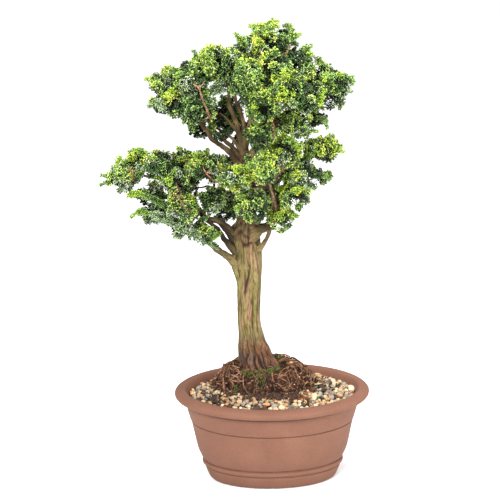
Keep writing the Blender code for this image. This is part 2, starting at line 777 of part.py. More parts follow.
def build_spray(name, core, obstacles, rng, parts, finish):
    """One spray: fans of foliage raised from a small core, clear of all else."""
    centre, radius = core
    reach, wide = SPRAYS[name][3:]
    bm = core_shape(name, radius)
    faces = [f for f in bm.faces if f.normal.z > FAN_LOWEST]
    rng.shuffle(faces)
    own = []
    for face in faces:
        corners = [v.co / MM for v in face.verts]
        limits = (reach, radius * 1.35)
        points = find_fan(corners, limits, (wide, centre), obstacles, own, rng)
        if points:
            raise_fan(bm, face, points)
        if len(own) == FANS:
            break
    for vertex in bm.verts:
        vertex.co.x *= wide
    bmesh.ops.recalc_face_normals(bm, faces=bm.faces)
    mesh = bpy.data.meshes.new("spray_" + name)
    bm.to_mesh(mesh)
    bm.free()
    add_object("spray_" + name, mesh, parts, finish, centre)
    return tree_of_mesh(mesh, centre)


def build_foliage(parts, cores, wood):
    """Every spray of the crown, each clear of the wood and of the others."""
    greens = [material("foliage_" + word, colour, 0.6) for word, colour in FOLIAGE_COLOURS]
    rng = random.Random(SEED)
    solids = [tree_of_mesh(wood.data)]
    core_trees = {name: core_tree(name, core, GAP) for name, core in cores.items()}
    for number, name in enumerate(cores):
        others = [tree for other, tree in core_trees.items() if other != name]
        finish = greens[number % len(greens)]
        solids.append(build_spray(name, cores[name], solids + others, rng, parts, finish))


def centre_on_origin(parts, root):
    """Move the plant so that its bounding box stands on the origin."""
    bpy.context.view_layer.update()
    graph = bpy.context.evaluated_depsgraph_get()
    corners = []
    for obj in parts.objects:
        if obj.type == "MESH":
            shown = obj.evaluated_get(graph)
            corners += [shown.matrix_world @ v.co for v in shown.data.vertices]
    low = [min(c[axis] for c in corners) for axis in range(3)]
    high = [max(c[axis] for c in corners) for axis in range(3)]
    root.location = (-(low[0] + high[0]) / 2, -(low[1] + high[1]) / 2, -low[2])


def build():
    """Build the whole plant."""
    clear_scene()
    parts = new_collection("hinoki_cypress_bonsai")
    cutters = new_collection("cutters")
    build_pot(parts, cutters)
    plastic = material("black_plastic", (40, 40, 42), 0.6)
    build_screen("left", -DRAIN_HOLE_X, parts, plastic)
    build_screen("right", DRAIN_HOLE_X, parts, plastic)
    build_soil(parts, cutters)
    build_gravel(parts)
    cores = place_cores()
    wood = build_wood(parts, cores)
    build_foliage(parts, cores, wood)
    root = bpy.data.objects.new("bonsai", None)
    parts.objects.link(root)
    for obj in list(parts.objects) + list(cutters.objects):
        if obj is not root:
            obj.parent = root
    centre_on_origin(parts, root)


build()
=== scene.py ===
"""Looks of a hinoki cypress bonsai: bark, foliage, roots, gravel and clay around its frame.

Places are millimetres about the middle of the pot's foot, +Z up, until add_mesh sets them
in the frame in metres. The pot's long side lies along X and its front faces -Y. Colours are
0-255 until linear() turns them, and an rng is always the random draws of one group of pieces.
"""

import itertools
import math
import random

import bpy
import numpy as np
from mathutils import Matrix, Vector, noise


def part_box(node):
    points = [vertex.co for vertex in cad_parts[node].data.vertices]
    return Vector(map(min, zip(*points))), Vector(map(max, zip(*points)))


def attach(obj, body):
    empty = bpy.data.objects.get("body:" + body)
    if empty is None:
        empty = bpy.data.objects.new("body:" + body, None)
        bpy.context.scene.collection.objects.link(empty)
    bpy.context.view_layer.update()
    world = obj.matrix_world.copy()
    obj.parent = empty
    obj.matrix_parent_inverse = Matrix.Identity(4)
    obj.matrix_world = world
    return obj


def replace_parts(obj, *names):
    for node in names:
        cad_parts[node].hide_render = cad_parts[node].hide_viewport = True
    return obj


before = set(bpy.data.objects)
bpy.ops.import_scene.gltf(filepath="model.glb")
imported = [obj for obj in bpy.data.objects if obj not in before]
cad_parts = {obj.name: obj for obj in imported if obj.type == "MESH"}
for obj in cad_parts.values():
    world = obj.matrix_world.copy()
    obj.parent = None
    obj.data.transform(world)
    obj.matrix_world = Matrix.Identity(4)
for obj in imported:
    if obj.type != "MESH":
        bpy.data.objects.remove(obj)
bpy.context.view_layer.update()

MM = 0.001
POT_LOW, POT_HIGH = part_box("pot")
MIDDLE = np.array([(POT_LOW.x + POT_HIGH.x) / 2, (POT_LOW.y + POT_HIGH.y) / 2, POT_LOW.z])

# Camera, lights (name, place, size, power) and floor
CAMERA_PLACE = (-29, -1559, 800)
CAMERA_DOWN = 17.32
CAMERA_TURNS = ((-0.133, "Z"), (90 - CAMERA_DOWN, "X"), (-1.0, "Z"))
CAMERA_LENS = 93.2
SENSOR_WIDTH = 36
LIGHTS = (
    ("key", (-500, -1600, 1400), 450, 44),
    ("fill", (1400, -1100, 900), 900, 22),
    ("top", (100, 0, 1900), 700, 32),
)
LIGHT_AIM = (0, 0, 300)
WORLD_STRENGTH = 1.08
FLOOR_HALF = 6000
FLOOR_DROP = 0.4
FLOOR_SHADE = 0.92

# Pot: an oval, as a profile of its long half-length and height from the middle of its inside,
# over the rim, to the middle of its underside
POT_SIDES = 160
OVAL_INSET = 40.0
ROUND_CORE = 70.0
FLOOR_TOP = 14.0
POT_PROFILE = [
    (6, FLOOR_TOP), (74, FLOOR_TOP), (90, 45), (103, 100), (111.5, 127), (118, 127.5), (124, 125.5),
    (127, 122.5), (126.5, 118.5), (122, 115), (113.4, 114.4), (111.6, 113.6), (111.6, 111.2),
    (113.8, 110.4), (107.8, 86.4), (107.4, 85.5), (104.9, 84.9), (104.9, 84.1), (106.5, 83.3),
    (106.2, 82), (100, 50), (98.4, 43), (93.2, 31), (92.4, 30), (90, 29.2), (90, 28.2), (92.6, 27.2),
    (93.2, 25.2), (92.8, 22.8), (91.2, 21.4), (88.4, 20.6), (88.2, 19.4), (89.6, 18.4), (88.8, 14),
    (83, 0), (73, 0), (71, 5), (6, 5)]
INNER_WALL = POT_PROFILE[1:5]
CORNER_CUT = 0.22
POT_WOBBLE = 0.35
POT_WOBBLE_SIZE = 45
RIM_HALF = (127, 87)
DRAIN_HOLE_X = 38.0
DRAIN_HOLE_RADIUS = 6.0
DRILL_SIDES = 32
DRILL_HEIGHTS = (-20, 40)

# Soil, in rings of (height, gap to the wall), and its mound, from an oval shoulder to a plateau
SOIL_TOP = 110.0
SOIL_SIDES = 220
SOIL_RINGS = ((FLOOR_TOP + 0.4, 1.5), (45, 0.5), (100, 0.5), (SOIL_TOP, 0.5))
MOUND_CENTRE = (-8.0, 19.5)
MOUND_HALF = (71.0, 42.0)
MOUND_SHOULDER = 121.0
MOUND_ROWS = 34
PLATEAU = 149.0
PLATEAU_CENTRE = (-11.0, 23.5)
PLATEAU_HALF = (40.0, 29.0)
PLATEAU_ROWS = 16
TRUNK_FOOT = (-19.3, 21.8)
SOIL_COLOURS = ((34, 24, 20), (84, 60, 46))

# Roots over the mound; colours have weights
ROOT_STEP = 2.6
THICK_ROOTS = 11
THICK_ROOT_START = 18
FINE_ROOTS = 1150
FOOT_ROOTS = 170
ROOT_COLOURS = (
    ((112, 76, 58), 6), ((150, 108, 82), 6), ((84, 56, 44), 4), ((172, 130, 98), 4), ((190, 128, 84), 2),
    ((56, 42, 36), 2), ((214, 184, 140), 1), ((146, 110, 92), 4))

# Chips: place with its lift, half-lengths, colour; litter on the gravel: middle, spread, how
# many, colour; moss: x, y, size
CHIPS = 300
BIG_CHIPS = (
    ((24, 14, 3), (7.5, 5, 4), (124, 84, 56)),
    ((26, 13, 6), (4.0, 2.6, 1.6), (226, 168, 110)),
    ((32, 12, 6.5), (5.5, 1.2, 0.8), (170, 140, 112)),
)
STUB = (-62.0, 16.0)
STUB_RISES = ((0, 0, 0), (0.6, 0, 5), (-0.8, 0, 9), (0.4, 0, 13))
STUB_RADII = (2.6, 2.2, 1.3, 0.4)
STUB_COLOUR = (96, 70, 62)
LITTER = (
    ((-76, -26), 9, 26, (66, 52, 44)), ((-66, -41), 6, 14, (60, 46, 40)),
    ((-87, -8), 6, 10, (84, 62, 48)), ((38, -34), 10, 26, (128, 78, 52)),
    ((46, -44), 6, 10, (74, 54, 44)), ((20, -30), 9, 14, (84, 58, 44)), ((88, 12), 8, 10, (60, 46, 40)),
    ((-34, -28), 11, 70, (84, 60, 46)), ((-14, -30), 11, 90, (78, 56, 44)),
    ((8, -30), 11, 80, (84, 58, 44)), ((30, -26), 10, 60, (80, 56, 42)),
    ((-54, -20), 9, 40, (72, 54, 44)), ((52, -14), 9, 16, (84, 60, 46)), ((72, -4), 9, 8, (70, 52, 42)))
MOSS = (
    (-16, -9, 6), (-6, -8, 5), (-27, -8, 4), (-36, -4, 3.5), (2, -4, 5), (8, 2, 4), (-48, -14, 3),
    (-14, -15, 4), (-40, 44, 5), (-10, 52, 6), (12, 40, 4))
MOSS_GREENS = ((128, 156, 46), (92, 120, 40), (164, 180, 78), (70, 90, 36))
MOSS_WIDTH = 0.45
MOSS_FACES = ((0, 1, 3), (1, 2, 3), (2, 0, 3), (2, 1, 0))

# Gravel: layers as how many stones at most, their least and greatest radius; the bed under them
STONE_LAYERS = ((240, 3.2, 5.0), (360, 3.2, 6.4))
STONE_TRIES = 14000
STONE_SPACING = 0.8
STONE_FLATS = 11
LAYER_HEIGHT = 2.9
STONE_COLOURS = (
    ((238, 212, 170), 7), ((228, 196, 152), 7), ((220, 178, 132), 5), ((190, 154, 118), 3),
    ((178, 164, 148), 4), ((140, 128, 116), 2), ((84, 66, 54), 2), ((236, 180, 122), 2),
    ((210, 146, 100), 1), ((244, 232, 206), 2))
GREEN_GRAINS = ((37, -18), (58, -3), (68, -23), (59, -32), (-5, -44))
GREEN_GRAIN_RADIUS = 1.5
GREEN_GRAIN_COLOUR = (34, 156, 120)
GRAVEL_HIGH = 122.0
GRAVEL_FALL = 4.0
GRAVEL_WALL = 119
BED_SIDES = 160
BED_ROWS = 14
BED_OUTER = 116.0
BED_INNER = 119
BED_UNDER = SOIL_TOP + 0.6
BED_COLOURS = ((58, 46, 38), (120, 100, 80))

# The tree was measured with the camera rolled by a degree; it is set upright and to scale
# about the middle of the pot's rim
TREE_LEAN = math.radians(1.0)
TREE_SCALE = 254.0 / 257.0
RIM_MIDDLE = Vector((0, 0, 120))

# Trunk sections: x, y, z, radius
TRUNK_SIDES = 128
TRUNK_STEP = 1.6
TRUNK = [
    (-20, 22, 138, 29), (-19, 22, PLATEAU + 1.3, 25), (-20, 22, 155, 23.3), (-22, 22, 162, 21.5),
    (-24.5, 22, 174, 20), (-27, 22, 188, 17.5), (-30.5, 22, 215, 15.2), (-30, 22, 248, 15.7),
    (-29.5, 21, 275, 15.8), (-31, 20, 297, 17), (-32, 18, 317, 16.2), (-35, 16, 337, 16.5),
    (-34, 14, 350, 13), (-32, 12, 366, 10.5), (-31, 9, 389, 9.5), (-33, 7, 415, 8.8), (-36, 5, 438, 6),
    (-38, 5, 450, 3.4)]

# The trunk's forms: bearings in degrees, half-widths in radians, heights, depths; a pair of
# heights is where a form comes in
FLUTE = 0.055
ROOT_LOBE = 0.1
ROOT_SPLIT = 4.6
FOOT_FURROWS = (-152, -132, -112, -94, -76, -54, -30, -2, 28, 60, 92, 124, 156, 182)
FURROW_WIDE = 0.075
ROOTY_FOOT = (200, 158)
GNARLED_TOP = (308, 330)
GNARL_OUT = 3.4
SHOULDER_BEARING = -172
SHOULDER_RISE = (258, 290)
SHOULDER_FALL = (316, 298)
SHOULDER_OUT = 6.0
SEAM_BEARING = -99
SEAM_HEIGHT = 273
SEAM_START = 275
SEAM_TURN = 0.8
SEAM_DEEP = 1.8
BURL_BEARING = -96
BURL_HEIGHT = 338
BURL_WIDE = 0.55
BURL_OUT = 3.2
HOLLOW_HEIGHT = 322
HOLLOW_DEEP = 3.4

# Bark colours; a pair of heights is where a change comes in, and patches are bearing, height,
# half-width, half-height, colour and share
BARK_TONE = 0.55
GRAIN_PITCH = 0.12
ROUGH_SIZE = 2.6
SHADED_FOOT = (225, 185)
RUDDY_FOOT = (205, 160)
# painted shade of the crown on the trunk's top comes in between these heights
CROWN_SHADE_TOP = (312, 338)
TAN = (204, 182, 130)
OLIVE = (170, 156, 96)
PINK = (206, 160, 132)
BARK_MOSS = (132, 138, 62)
# dark olive painted as the crown's shade on the upper trunk
CROWN_SHADE = (112, 96, 62)
RUDDY = (160, 108, 82)
GREY_BROWN = (128, 104, 100)
SHADOW = (50, 36, 30)
BARK_PATCHES = (
    (-135, 306, 0.45, 10, (104, 98, 54), 0.75), (-75, 306, 0.12, 12, (206, 150, 122), 0.8),
    (-42, 294, 0.12, 13, (220, 152, 130), 0.8), (-85, 325, 0.1, 3, (200, 100, 84), 0.8),
    (-98, 240, 0.15, 24, (208, 164, 132), 0.6), (-66, 240, 0.12, 32, (138, 146, 62), 0.7),
    (-76, 219, 0.08, 7, (200, 116, 86), 0.7), (-60, 176, 0.5, 9, (176, 104, 74), 0.5),
    (-120, 330, 0.14, 14, (190, 122, 92), 0.5), (-150, 262, 0.12, 20, (150, 150, 70), 0.6))

# Limbs: first and last radius, then points from inside the trunk outwards; the tones darken
# those that stand in shade
LIMB_STEP = 3.0
LIMBS = {
    "low_left": (5.4, 1.4, [(-31, 20, 284), (-42, 18, 290), (-52, 12, 299), (-67, 4, 312), (-74, 0, 320),
        (-90, -4, 332), (-115, -8, 348), (-136, -10, 360)]),
    "low_left_second": (4.8, 1.4, [(-31, 19, 299), (-41, 18, 304), (-52, 12, 315), (-62, 6, 329),
        (-71, 0, 343), (-83, -6, 357), (-97, -10, 371)]),
    "left_main": (3.5, 1.5, [(-33, 17, 318), (-44, 16, 327), (-51, 13, 336), (-59, 8, 346), (-71, 3, 354),
        (-84, -2, 360), (-96, -4, 376), (-108, -4, 390), (-127, 0, 402), (-148, 0, 410), (-172, 0, 416)]),
    "left_main_fork": (2.2, 1.4, [(-88, -3, 365), (-75, 0, 396), (-80, -4, 412)]),
    "front_right": (6.4, 1.9, [(-33, 15, 326), (-19, 2, 341), (-11, -6, 347), (-3, -12, 356),
        (2, -18, 372), (1, -22, 387), (-4, -26, 403), (-8, -30, 416)]),
    "front_right_fork": (1.9, 1.3, [(-3, -25, 400), (5, -26, 418), (14, -24, 430)]),
    "low_left_third": (4.8, 1.6, [(-32, 20, 314), (-45, 17, 320), (-52, 14, 329), (-61, 9, 341),
        (-69, 5, 350), (-78, -1, 355)]),
    "right_twig": (2.9, 2.3, [(-29, 18, 309), (-21, 14, 313), (-15, 7, 319), (-10, 1, 327), (-6, -3, 336),
        (-3, -7, 348), (1, -12, 358)]),
    "front_centre": (3.3, 1.8, [(-34, 14, 334), (-26, 4, 345), (-23, -2, 355), (-27, -12, 368),
        (-32, -22, 378)]),
    "right_main": (3.6, 1.6, [(-32, 10, 375), (-19, 2, 396), (-2, -6, 416), (18, -8, 430),
        (40, -4, 436)]),
    "left_riser": (4.2, 1.8, [(-32, 8, 400), (-38, 6, 414), (-47, 2, 434), (-61, -3, 450), (-76, -6, 462),
        (-86, -8, 478), (-96, -8, 494), (-108, -6, 514)]),
    "centre_riser": (3.6, 1.8, [(-37, 5, 438), (-42, 6, 465), (-46, 6, 480), (-53, 6, 496), (-56, 8, 512),
        (-57, 8, 530), (-64, 4, 546)]),
    "second_riser": (3.0, 1.6, [(-38, 5, 442), (-37, 10, 469), (-39, 12, 486), (-45, 15, 501),
        (-47, 18, 518), (-40, 20, 540)]),
    "inner_left": (2.4, 1.4, [(-40, 5, 444), (-50, 1, 459), (-61, 0, 468), (-72, 2, 474)]),
    "inner_back_left": (2.4, 1.4, [(-40, 6, 462), (-52, 10, 477), (-66, 20, 489)]),
    "right_riser": (4.0, 1.7, [(-34, 6, 425), (-22, 2, 450), (-7, -6, 470), (13, -8, 493), (32, -6, 508),
        (52, 0, 520)]),
    "leader": (3.4, 1.6, [(-38, 5, 446), (-29, 6, 479), (-19, 4, 510), (-11, 2, 538), (-7, 6, 560)]),
    "back_riser": (3.2, 1.5, [(-35, 6, 424), (-33, 20, 448), (-29, 34, 468), (-30, 44, 492),
        (-34, 50, 512)]),
    "back_right_riser": (2.6, 1.4, [(-8, -4, 472), (6, 12, 488), (18, 28, 502), (26, 40, 512)]),
    "low_riser": (4.0, 1.8, [(-34, 8, 415), (-43, 8, 434), (-48, 8, 442), (-54, 6, 451), (-62, 2, 460),
        (-71, -2, 469)]),
    "back_left": (3.0, 1.5, [(-33, 12, 364), (-42, 26, 372), (-52, 42, 376), (-84, 50, 388)]),
    "back_right": (3.0, 1.5, [(-32, 11, 372), (-22, 26, 380), (-10, 44, 386), (14, 46, 382)]),
}
LIMB_TONES = {"low_left_second": 0.3, "low_left_third": 0.16, "left_main": 0.62, "low_riser": 0.7}
LIMB_BROWNS = ((72, 58, 42), (132, 112, 78))
LIMB_GREEN = (88, 88, 48)
LIMB_TAN = (146, 128, 86)
LIMB_TAN_FOOT = (345, 325)
TWIG_BROWN = (84, 66, 46)
TWIGLET_GREEN = (40, 50, 26)

# Ruddy twigs seen in front of the leaves: colour at the root and at the tip, radius, points
FRONT_TWIG_DEPTH = 5.0
FRONT_TWIGS = (
    ((104, 86, 60), (156, 132, 94), 2.9, ((-19, -8, 353), (-21, -24, 363), (-25, -34, 374),
        (-31, -38, 382), (-37, -34, 385))),
    ((132, 112, 80), (150, 122, 86), 2.3, ((-4, -6, 345), (1, -14, 359), (3, -28, 373), (2, -40, 386),
        (-1, -44, 395))),
    ((170, 86, 66), (184, 104, 80), 1.3, ((-27, -42, 379), (-31, -44, 381), (-36, -42, 382))),
    ((108, 70, 54), (166, 129, 104), 1.4, ((-75, -20, 485), (-79, -54, 499), (-83, -57, 511),
        (-87, -57, 523), (-91, -56, 534), (-97, -52, 537))),
    ((156, 121, 97), (170, 141, 116), 0.9, ((-91, -56, 534), (-88, -56, 536), (-85, -53, 539))),
    ((159, 122, 100), (149, 114, 97), 0.9, ((-79, -54, 499), (-82, -54, 496), (-86, -50, 494))),
    ((86, 67, 51), (125, 90, 73), 1.2, ((-7, -40, 462), (-2, -58, 470), (-1, -60, 480), (-1, -60, 488),
        (-4, -58, 493))),
    ((113, 97, 75), (143, 120, 97), 1.6, ((-2, -40, 387), (-1, -58, 400), (-4, -62, 409), (-7, -63, 419),
        (-12, -62, 422), (-18, -58, 423))),
    ((132, 111, 86), (141, 109, 87), 1.0, ((-7, -63, 419), (1, -62, 426), (8, -60, 432), (12, -57, 434))),
    ((112, 89, 71), (97, 75, 62), 1.0, ((9, -60, 432), (9, -60, 440), (8, -56, 448))),
    ((145, 105, 70), (141, 112, 83), 1.1, ((13, -22, 564), (13, -36, 569), (16, -36, 576),
        (18, -30, 579))),
    ((77, 59, 48), (145, 111, 90), 1.4, ((-94, -20, 367), (-100, -42, 376), (-106, -49, 380),
        (-112, -52, 388), (-117, -52, 398), (-124, -47, 401))),
    ((148, 114, 93), (158, 129, 106), 0.8, ((-117, -52, 398), (-115, -52, 400), (-113, -47, 402))),
    ((101, 67, 53), (164, 123, 101), 1.2, ((-61, -24, 403), (-67, -46, 414), (-77, -52, 422),
        (-83, -53, 429), (-87, -48, 435))),
    ((159, 122, 100), (149, 114, 97), 0.9, ((-82, -53, 429), (-79, -52, 430), (-77, -47, 432))),
    ((89, 68, 54), (157, 115, 91), 1.0, ((-173, -14, 409), (-174, -32, 421), (-175, -35, 426),
        (-180, -32, 429))),
    ((151, 114, 91), (156, 121, 98), 0.8, ((-175, -35, 425), (-173, -34, 426), (-170, -30, 427))),
    ((88, 65, 50), (110, 81, 64), 1.0, ((-114, -40, 399), (-117, -53, 410), (-120, -50, 416))),
)

# Spots of the crown as the front shows them: x, z, radius; the young and pale ones colour only
# the leaves in front of a depth
YOUNG_SPOTS = (
    (-46, 583, 6), (6, 599, 7), (-7, 582, 6), (-11, 571, 6), (-26, 556, 7), (-9, 544, 6), (41, 579, 5),
    (32, 587, 5), (-123, 544, 7), (-72, 567, 6), (-119, 512, 7), (-1, 511, 7), (22, 510, 8), (63, 506, 7),
    (-14, 495, 6), (2, 482, 7), (-20, 479, 6), (48, 479, 8), (40, 448, 9), (69, 441, 9), (79, 454, 7),
    (-30, 435, 8), (-48, 423, 7), (16, 442, 7), (-91, 442, 8), (4, 425, 7), (-15, 409, 6), (-171, 439, 8),
    (-152, 436, 8), (-184, 429, 6), (-172, 396, 7), (-41, 395, 7), (13, 375, 9), (36, 381, 8),
    (-99, 383, 7), (-42, 373, 6), (-9, 392, 6), (7, 363, 8), (-173, 390, 6))
PALE_SPOTS = (
    (-62, 527, 9), (-52, 518, 7), (-128, 502, 7), (-22, 572, 7), (-12, 565, 6), (10, 569, 7),
    (-119, 531, 7), (-93, 400, 7), (-119, 354, 12), (-137, 366, 10), (-100, 339, 11), (93, 513, 6),
    (53, 423, 9), (40, 402, 9), (-66, 369, 7), (17, 429, 7), (-97, 521, 8), (-65, 412, 8), (94, 453, 6),
    (75, 416, 7))
GAPS = (
    (-146, 516, 8), (-146, 496, 8), (-89, 570, 5), (-103, 560, 5), (-51, 580, 8), (28, 572, 6),
    (44, 572, 6), (55, 553, 7), (87, 548, 7), (76, 502, 9), (64, 491, 8), (48, 478, 8), (27, 527, 8),
    (-116, 447, 6), (-146, 448, 6), (-202, 426, 6), (-194, 398, 8), (-158, 403, 9), (-147, 390, 6),
    (-162, 378, 8), (-161, 356, 9), (-99, 326, 7), (-86, 397, 9), (-61, 359, 8), (61, 423, 9),
    (53, 403, 9), (30, 372, 8), (24, 355, 8), (12, 343, 8), (11, 475, 6), (-50, 501, 7), (-59, 496, 6),
    (-74, 476, 6), (-138, 512, 8), (-134, 490, 7), (-112, 546, 5), (-95, 555, 5), (-80, 563, 5),
    (-44, 570, 5), (-18, 592, 5), (26, 596, 6), (38, 580, 6), (37, 565, 7), (49, 565, 5), (62, 545, 8),
    (98, 543, 10), (102, 525, 5), (84, 493, 7), (70, 484, 7), (52, 473, 7), (34, 520, 9), (68, 458, 6),
    (69, 416, 8), (59, 396, 7), (46, 374, 6), (-57, 355, 7), (-150, 376, 6), (-150, 352, 6),
    (-147, 398, 6), (-133, 444, 5), (-109, 443, 6), (-194, 423, 6), (-75, 390, 6), (-93, 322, 5),
    (-161, 380, 6), (103, 532, 5), (-126, 487, 5))
FRONT_DEPTH = 8

# Fronds that stand out of the crown: palette, width, stem
FRONDS = (
    ("blue", 13, ((-80, -22, 519), (-70, -24, 530), (-59, -22, 540))),
    ("shaded", 11, ((-75, -8, 461), (-65, -10, 469), (-55, -8, 474))),
    ("mid", 14, ((-179, -6, 402), (-170, -8, 413), (-161, -8, 422))),
    ("fresh", 12, ((31, -10, 433), (43, -12, 441), (55, -10, 448))),
    ("mid", 12, ((3, -20, 406), (7, -22, 418), (11, -20, 427))),
    ("mid", 12, ((-96, -10, 351), (-88, -12, 360), (-81, -10, 364))),
    ("mid", 12, ((-39, -10, 504), (-34, -12, 513), (-28, -12, 522))),
    ("blue", 15, ((-68, -4, 319), (-85, -14, 334), (-107, -22, 349), (-126, -26, 358), (-145, -28, 369))),
    ("blue", 13, ((-126, -28, 360), (-145, -29, 370), (-158, -28, 373))),
    ("fresh", 9, ((-152, -29, 372), (-163, -28, 374), (-171, -26, 372), (-177, -25, 367))),
    ("blue", 11, ((-100, -26, 350), (-118, -30, 356), (-138, -31, 364), (-150, -30, 366))),
    ("mid", 12, ((-108, -18, 362), (-131, -22, 377), (-151, -22, 389))),
    ("mid", 12, ((-130, -24, 381), (-150, -24, 390), (-166, -22, 395))),
    ("bright", 10, ((-160, -22, 394), (-170, -22, 396), (-181, -20, 393))),
    ("fresh", 10, ((-187, -6, 406), (-201, -8, 414), (-214, -8, 416))),
    ("mid", 9, ((-187, -6, 403), (-204, -8, 408), (-216, -6, 403))),
    ("bright", 10, ((-134, -6, 527), (-146, -8, 535), (-156, -8, 537))),
    ("blue", 10, ((-125, -10, 508), (-139, -14, 508), (-153, -14, 504))),
    ("mid", 8, ((-91, -10, 559), (-95, -12, 566), (-97, -12, 571))),
    ("fresh", 9, ((-34, -10, 576), (-41, -12, 585), (-47, -12, 592))),
    ("mid", 9, ((44, -6, 487), (56, -8, 488), (63, -8, 485), (66, -8, 476))),
    ("fresh", 8, ((33, -10, 468), (42, -12, 472), (53, -12, 473))),
    ("fresh", 12, ((63, -4, 449), (74, -6, 452), (84, -6, 453))),
    ("blue", 10, ((55, -4, 452), (65, -6, 458), (74, -6, 465))),
    ("mid", 10, ((46, -8, 414), (58, -10, 416), (71, -10, 413))),
    ("fresh", 10, ((23, -14, 393), (32, -16, 392), (42, -16, 389))),
    ("fresh", 11, ((5, -20, 379), (17, -24, 375), (30, -24, 367))),
    ("mid", 9, ((-2, -20, 368), (7, -24, 362), (17, -24, 352))),
    ("mid", 10, ((81, 0, 536), (90, 0, 536), (97, 0, 533))),
    ("blue", 9, ((80, 0, 523), (89, -2, 523), (95, -2, 520))),
    ("mid", 9, ((31, -2, 563), (34, -4, 571), (41, -4, 574))),
    ("fresh", 9, ((10, 0, 600), (17, 0, 600), (23, 0, 595))),
    ("fresh", 10, ((-158, -8, 437), (-165, -10, 447), (-173, -10, 449))),
    ("bright", 9, ((-186, -8, 433), (-192, -8, 437), (-195, -8, 430))),
    ("blue", 10, ((-57, -30, 527), (-66, -30, 526), (-73, -30, 522))),
    ("fresh", 10, ((-65, -12, 343), (-72, -14, 339), (-81, -14, 333))),
    ("mid", 10, ((-22, -20, 357), (-16, -22, 365), (-8, -22, 373))),
    ("bright", 9, ((-10, -4, 600), (-3, -4, 605), (4, -4, 606))),
    # painted shade: dark fronds behind the limbs
    ("shaded", 9, ((-67, 22, 453), (-54, 24, 465), (-42, 26, 479))),
    ("shaded", 9, ((-52, 22, 446), (-44, 24, 459), (-38, 26, 476))),
    ("shaded", 10, ((-59, 24, 477), (-49, 26, 492), (-39, 28, 506))),
    ("shaded", 9, ((-74, 16, 471), (-64, 18, 480), (-55, 20, 490))),
)
FROND_FACING = (0.0, -0.85, 0.5)
FROND_LEAN = 0.45
FROND_PITCH = 2.2
FROND_TONES = (0.3, 0.7, 1.0, 1.2)

# Tufts: a fan's scales as distance out, angle and length; the tilt of each fan
FROND_SHARE = 0.3
SITE_SPACING = 4.7
SITES = 54
SITE_PULL = 10.5
SITE_DRAWS = 700
SITE_LEAST = 0.42
INNER_SITES = 12
TUFT_KINDS = 12
TUFT_TILTS = (12, 42, 48, 54, 70, 78)
TUFT_REACH = 7.6
FAN_SCALES = (
    (0.4, 0, 3.2), (2.3, 38, 3.1), (2.5, -36, 3.1), (3.4, 2, 3.3), (4.4, 62, 2.7), (4.5, -60, 2.7),
    (4.9, 24, 2.9), (4.9, -22, 2.9))
SCALES = len(FAN_SCALES)
CORE_TILTS = (15, 60, 65, 70, 75)
CORE_SCALES = ((0.5, 0, 4.5), (2.2, 36, 4.2), (2.2, -36, 4.2), (4.4, 16, 4.0), (4.4, -16, 4.0))
SCALE_FACES = ((0, 2, 3), (1, 3, 2), (0, 1, 2), (0, 3, 1))

# Leaf colours from root to tip, their dark roots partly painted shade in the heart of a tuft and their
# bright tips partly the paler new growth; the light that each needs, and the tones that scales and fans
# are multiplied by
LEAF_PALETTES = {
    "bright": ((110, 160, 14), (216, 250, 88)),
    "fresh": ((46, 88, 10), (200, 242, 102)),
    "mid": ((22, 48, 10), (172, 216, 112)),
    "blue": ((42, 70, 28), (212, 242, 182)),
    # painted shade: near-black greens for tufts and fronds in the crown's depths
    "shaded": ((8, 18, 4), (80, 116, 50)),
}
LIGHT_LEVELS = (("bright", 0.5), ("fresh", 0.12))
# tufts whose painted light falls below this get painted shade
SHADED_BELOW = -0.24
BLUE_ABOVE = 0.22
BLUER_SPRAYS = 0.35
# painted shade: near-black colours of the inner tufts of each spray
CORE_SHADE_COLOURS = ((8, 16, 4), (34, 52, 18))
SCALE_TONES = (0.4, 0.8, 1.0, 1.3, 1.7)
# tones of tufts in the bright palette: new growth, and painted light on tufts that face up and out
BRIGHT_TONES = (0.7, 0.9, 1.0, 1.15, 1.3)
FAN_TONES = (0.3, 0.75, 1.05, 1.35, 1.7)

# Materials: roughness, specular, the bump's strength and depth, then layers of noise as lump
# size, detail, share and the ramp's stops; the first layer makes the bump too
WHITE = (255, 255, 255)
MATERIALS = {
    "unglazed_clay": (0.72, 0.25, 0.5, 0.35, (
        (1.1, 5.0, 1.0, ((0.36, (226, 226, 226)), (0.5, (251, 251, 251)), (0.64, WHITE))),
        (38, 4.0, 1.0, ((0.3, (110, 74, 58)), (0.55, (115, 78, 61)), (0.75, (120, 83, 66)))),
        (0.8, 2.0, 0.7, ((0.27, (150, 112, 96)), (0.31, WHITE))))),
    "black_plastic": (0.5, 0.3, 0.4, 0.1, (
        (4, 3.0, 1.0, ((0.4, (30, 30, 32)), (0.7, (74, 64, 56)))),)),
    "earth": (0.95, 0.1, 0.6, 0.8, ((2.2, 3.0, 1.0, ((0.3, (165, 165, 165)), (0.7, WHITE))),)),
    "gravel_stone": (0.7, 0.3, 0.6, 0.3, ((1.6, 3.0, 1.0, ((0.3, (195, 195, 195)), (0.7, WHITE))),)),
    "leaf": (0.42, 0.5, 0.6, 0.25, ((1.1, 3.0, 1.0, ((0.3, (160, 160, 160)), (0.7, WHITE))),)),
    "bark": (0.88, 0.2, 0.8, 0.6, (
        (0.9, 4.0, 0.9, ((0.32, (132, 118, 104)), (0.48, (232, 227, 221)), (0.66, WHITE))),
        (3.0, 3.0, 0.8, ((0.3, (208, 200, 188)), (0.6, WHITE))))),
}
TINTED = ("earth", "gravel_stone", "leaf", "bark")


def linear(colour):
    """A 0-255 colour as linear values."""
    share = np.asarray(colour, float) / 255
    return np.where(share <= 0.04045, share / 12.92, ((share + 0.055) / 1.055) ** 2.4)


def smooth_step(low, high, value):
    """0 below low, 1 above high, and a smooth climb between."""
    share = np.clip((np.asarray(value, float) - low) / (high - low), 0, 1)
    return share * share * (3 - 2 * share)


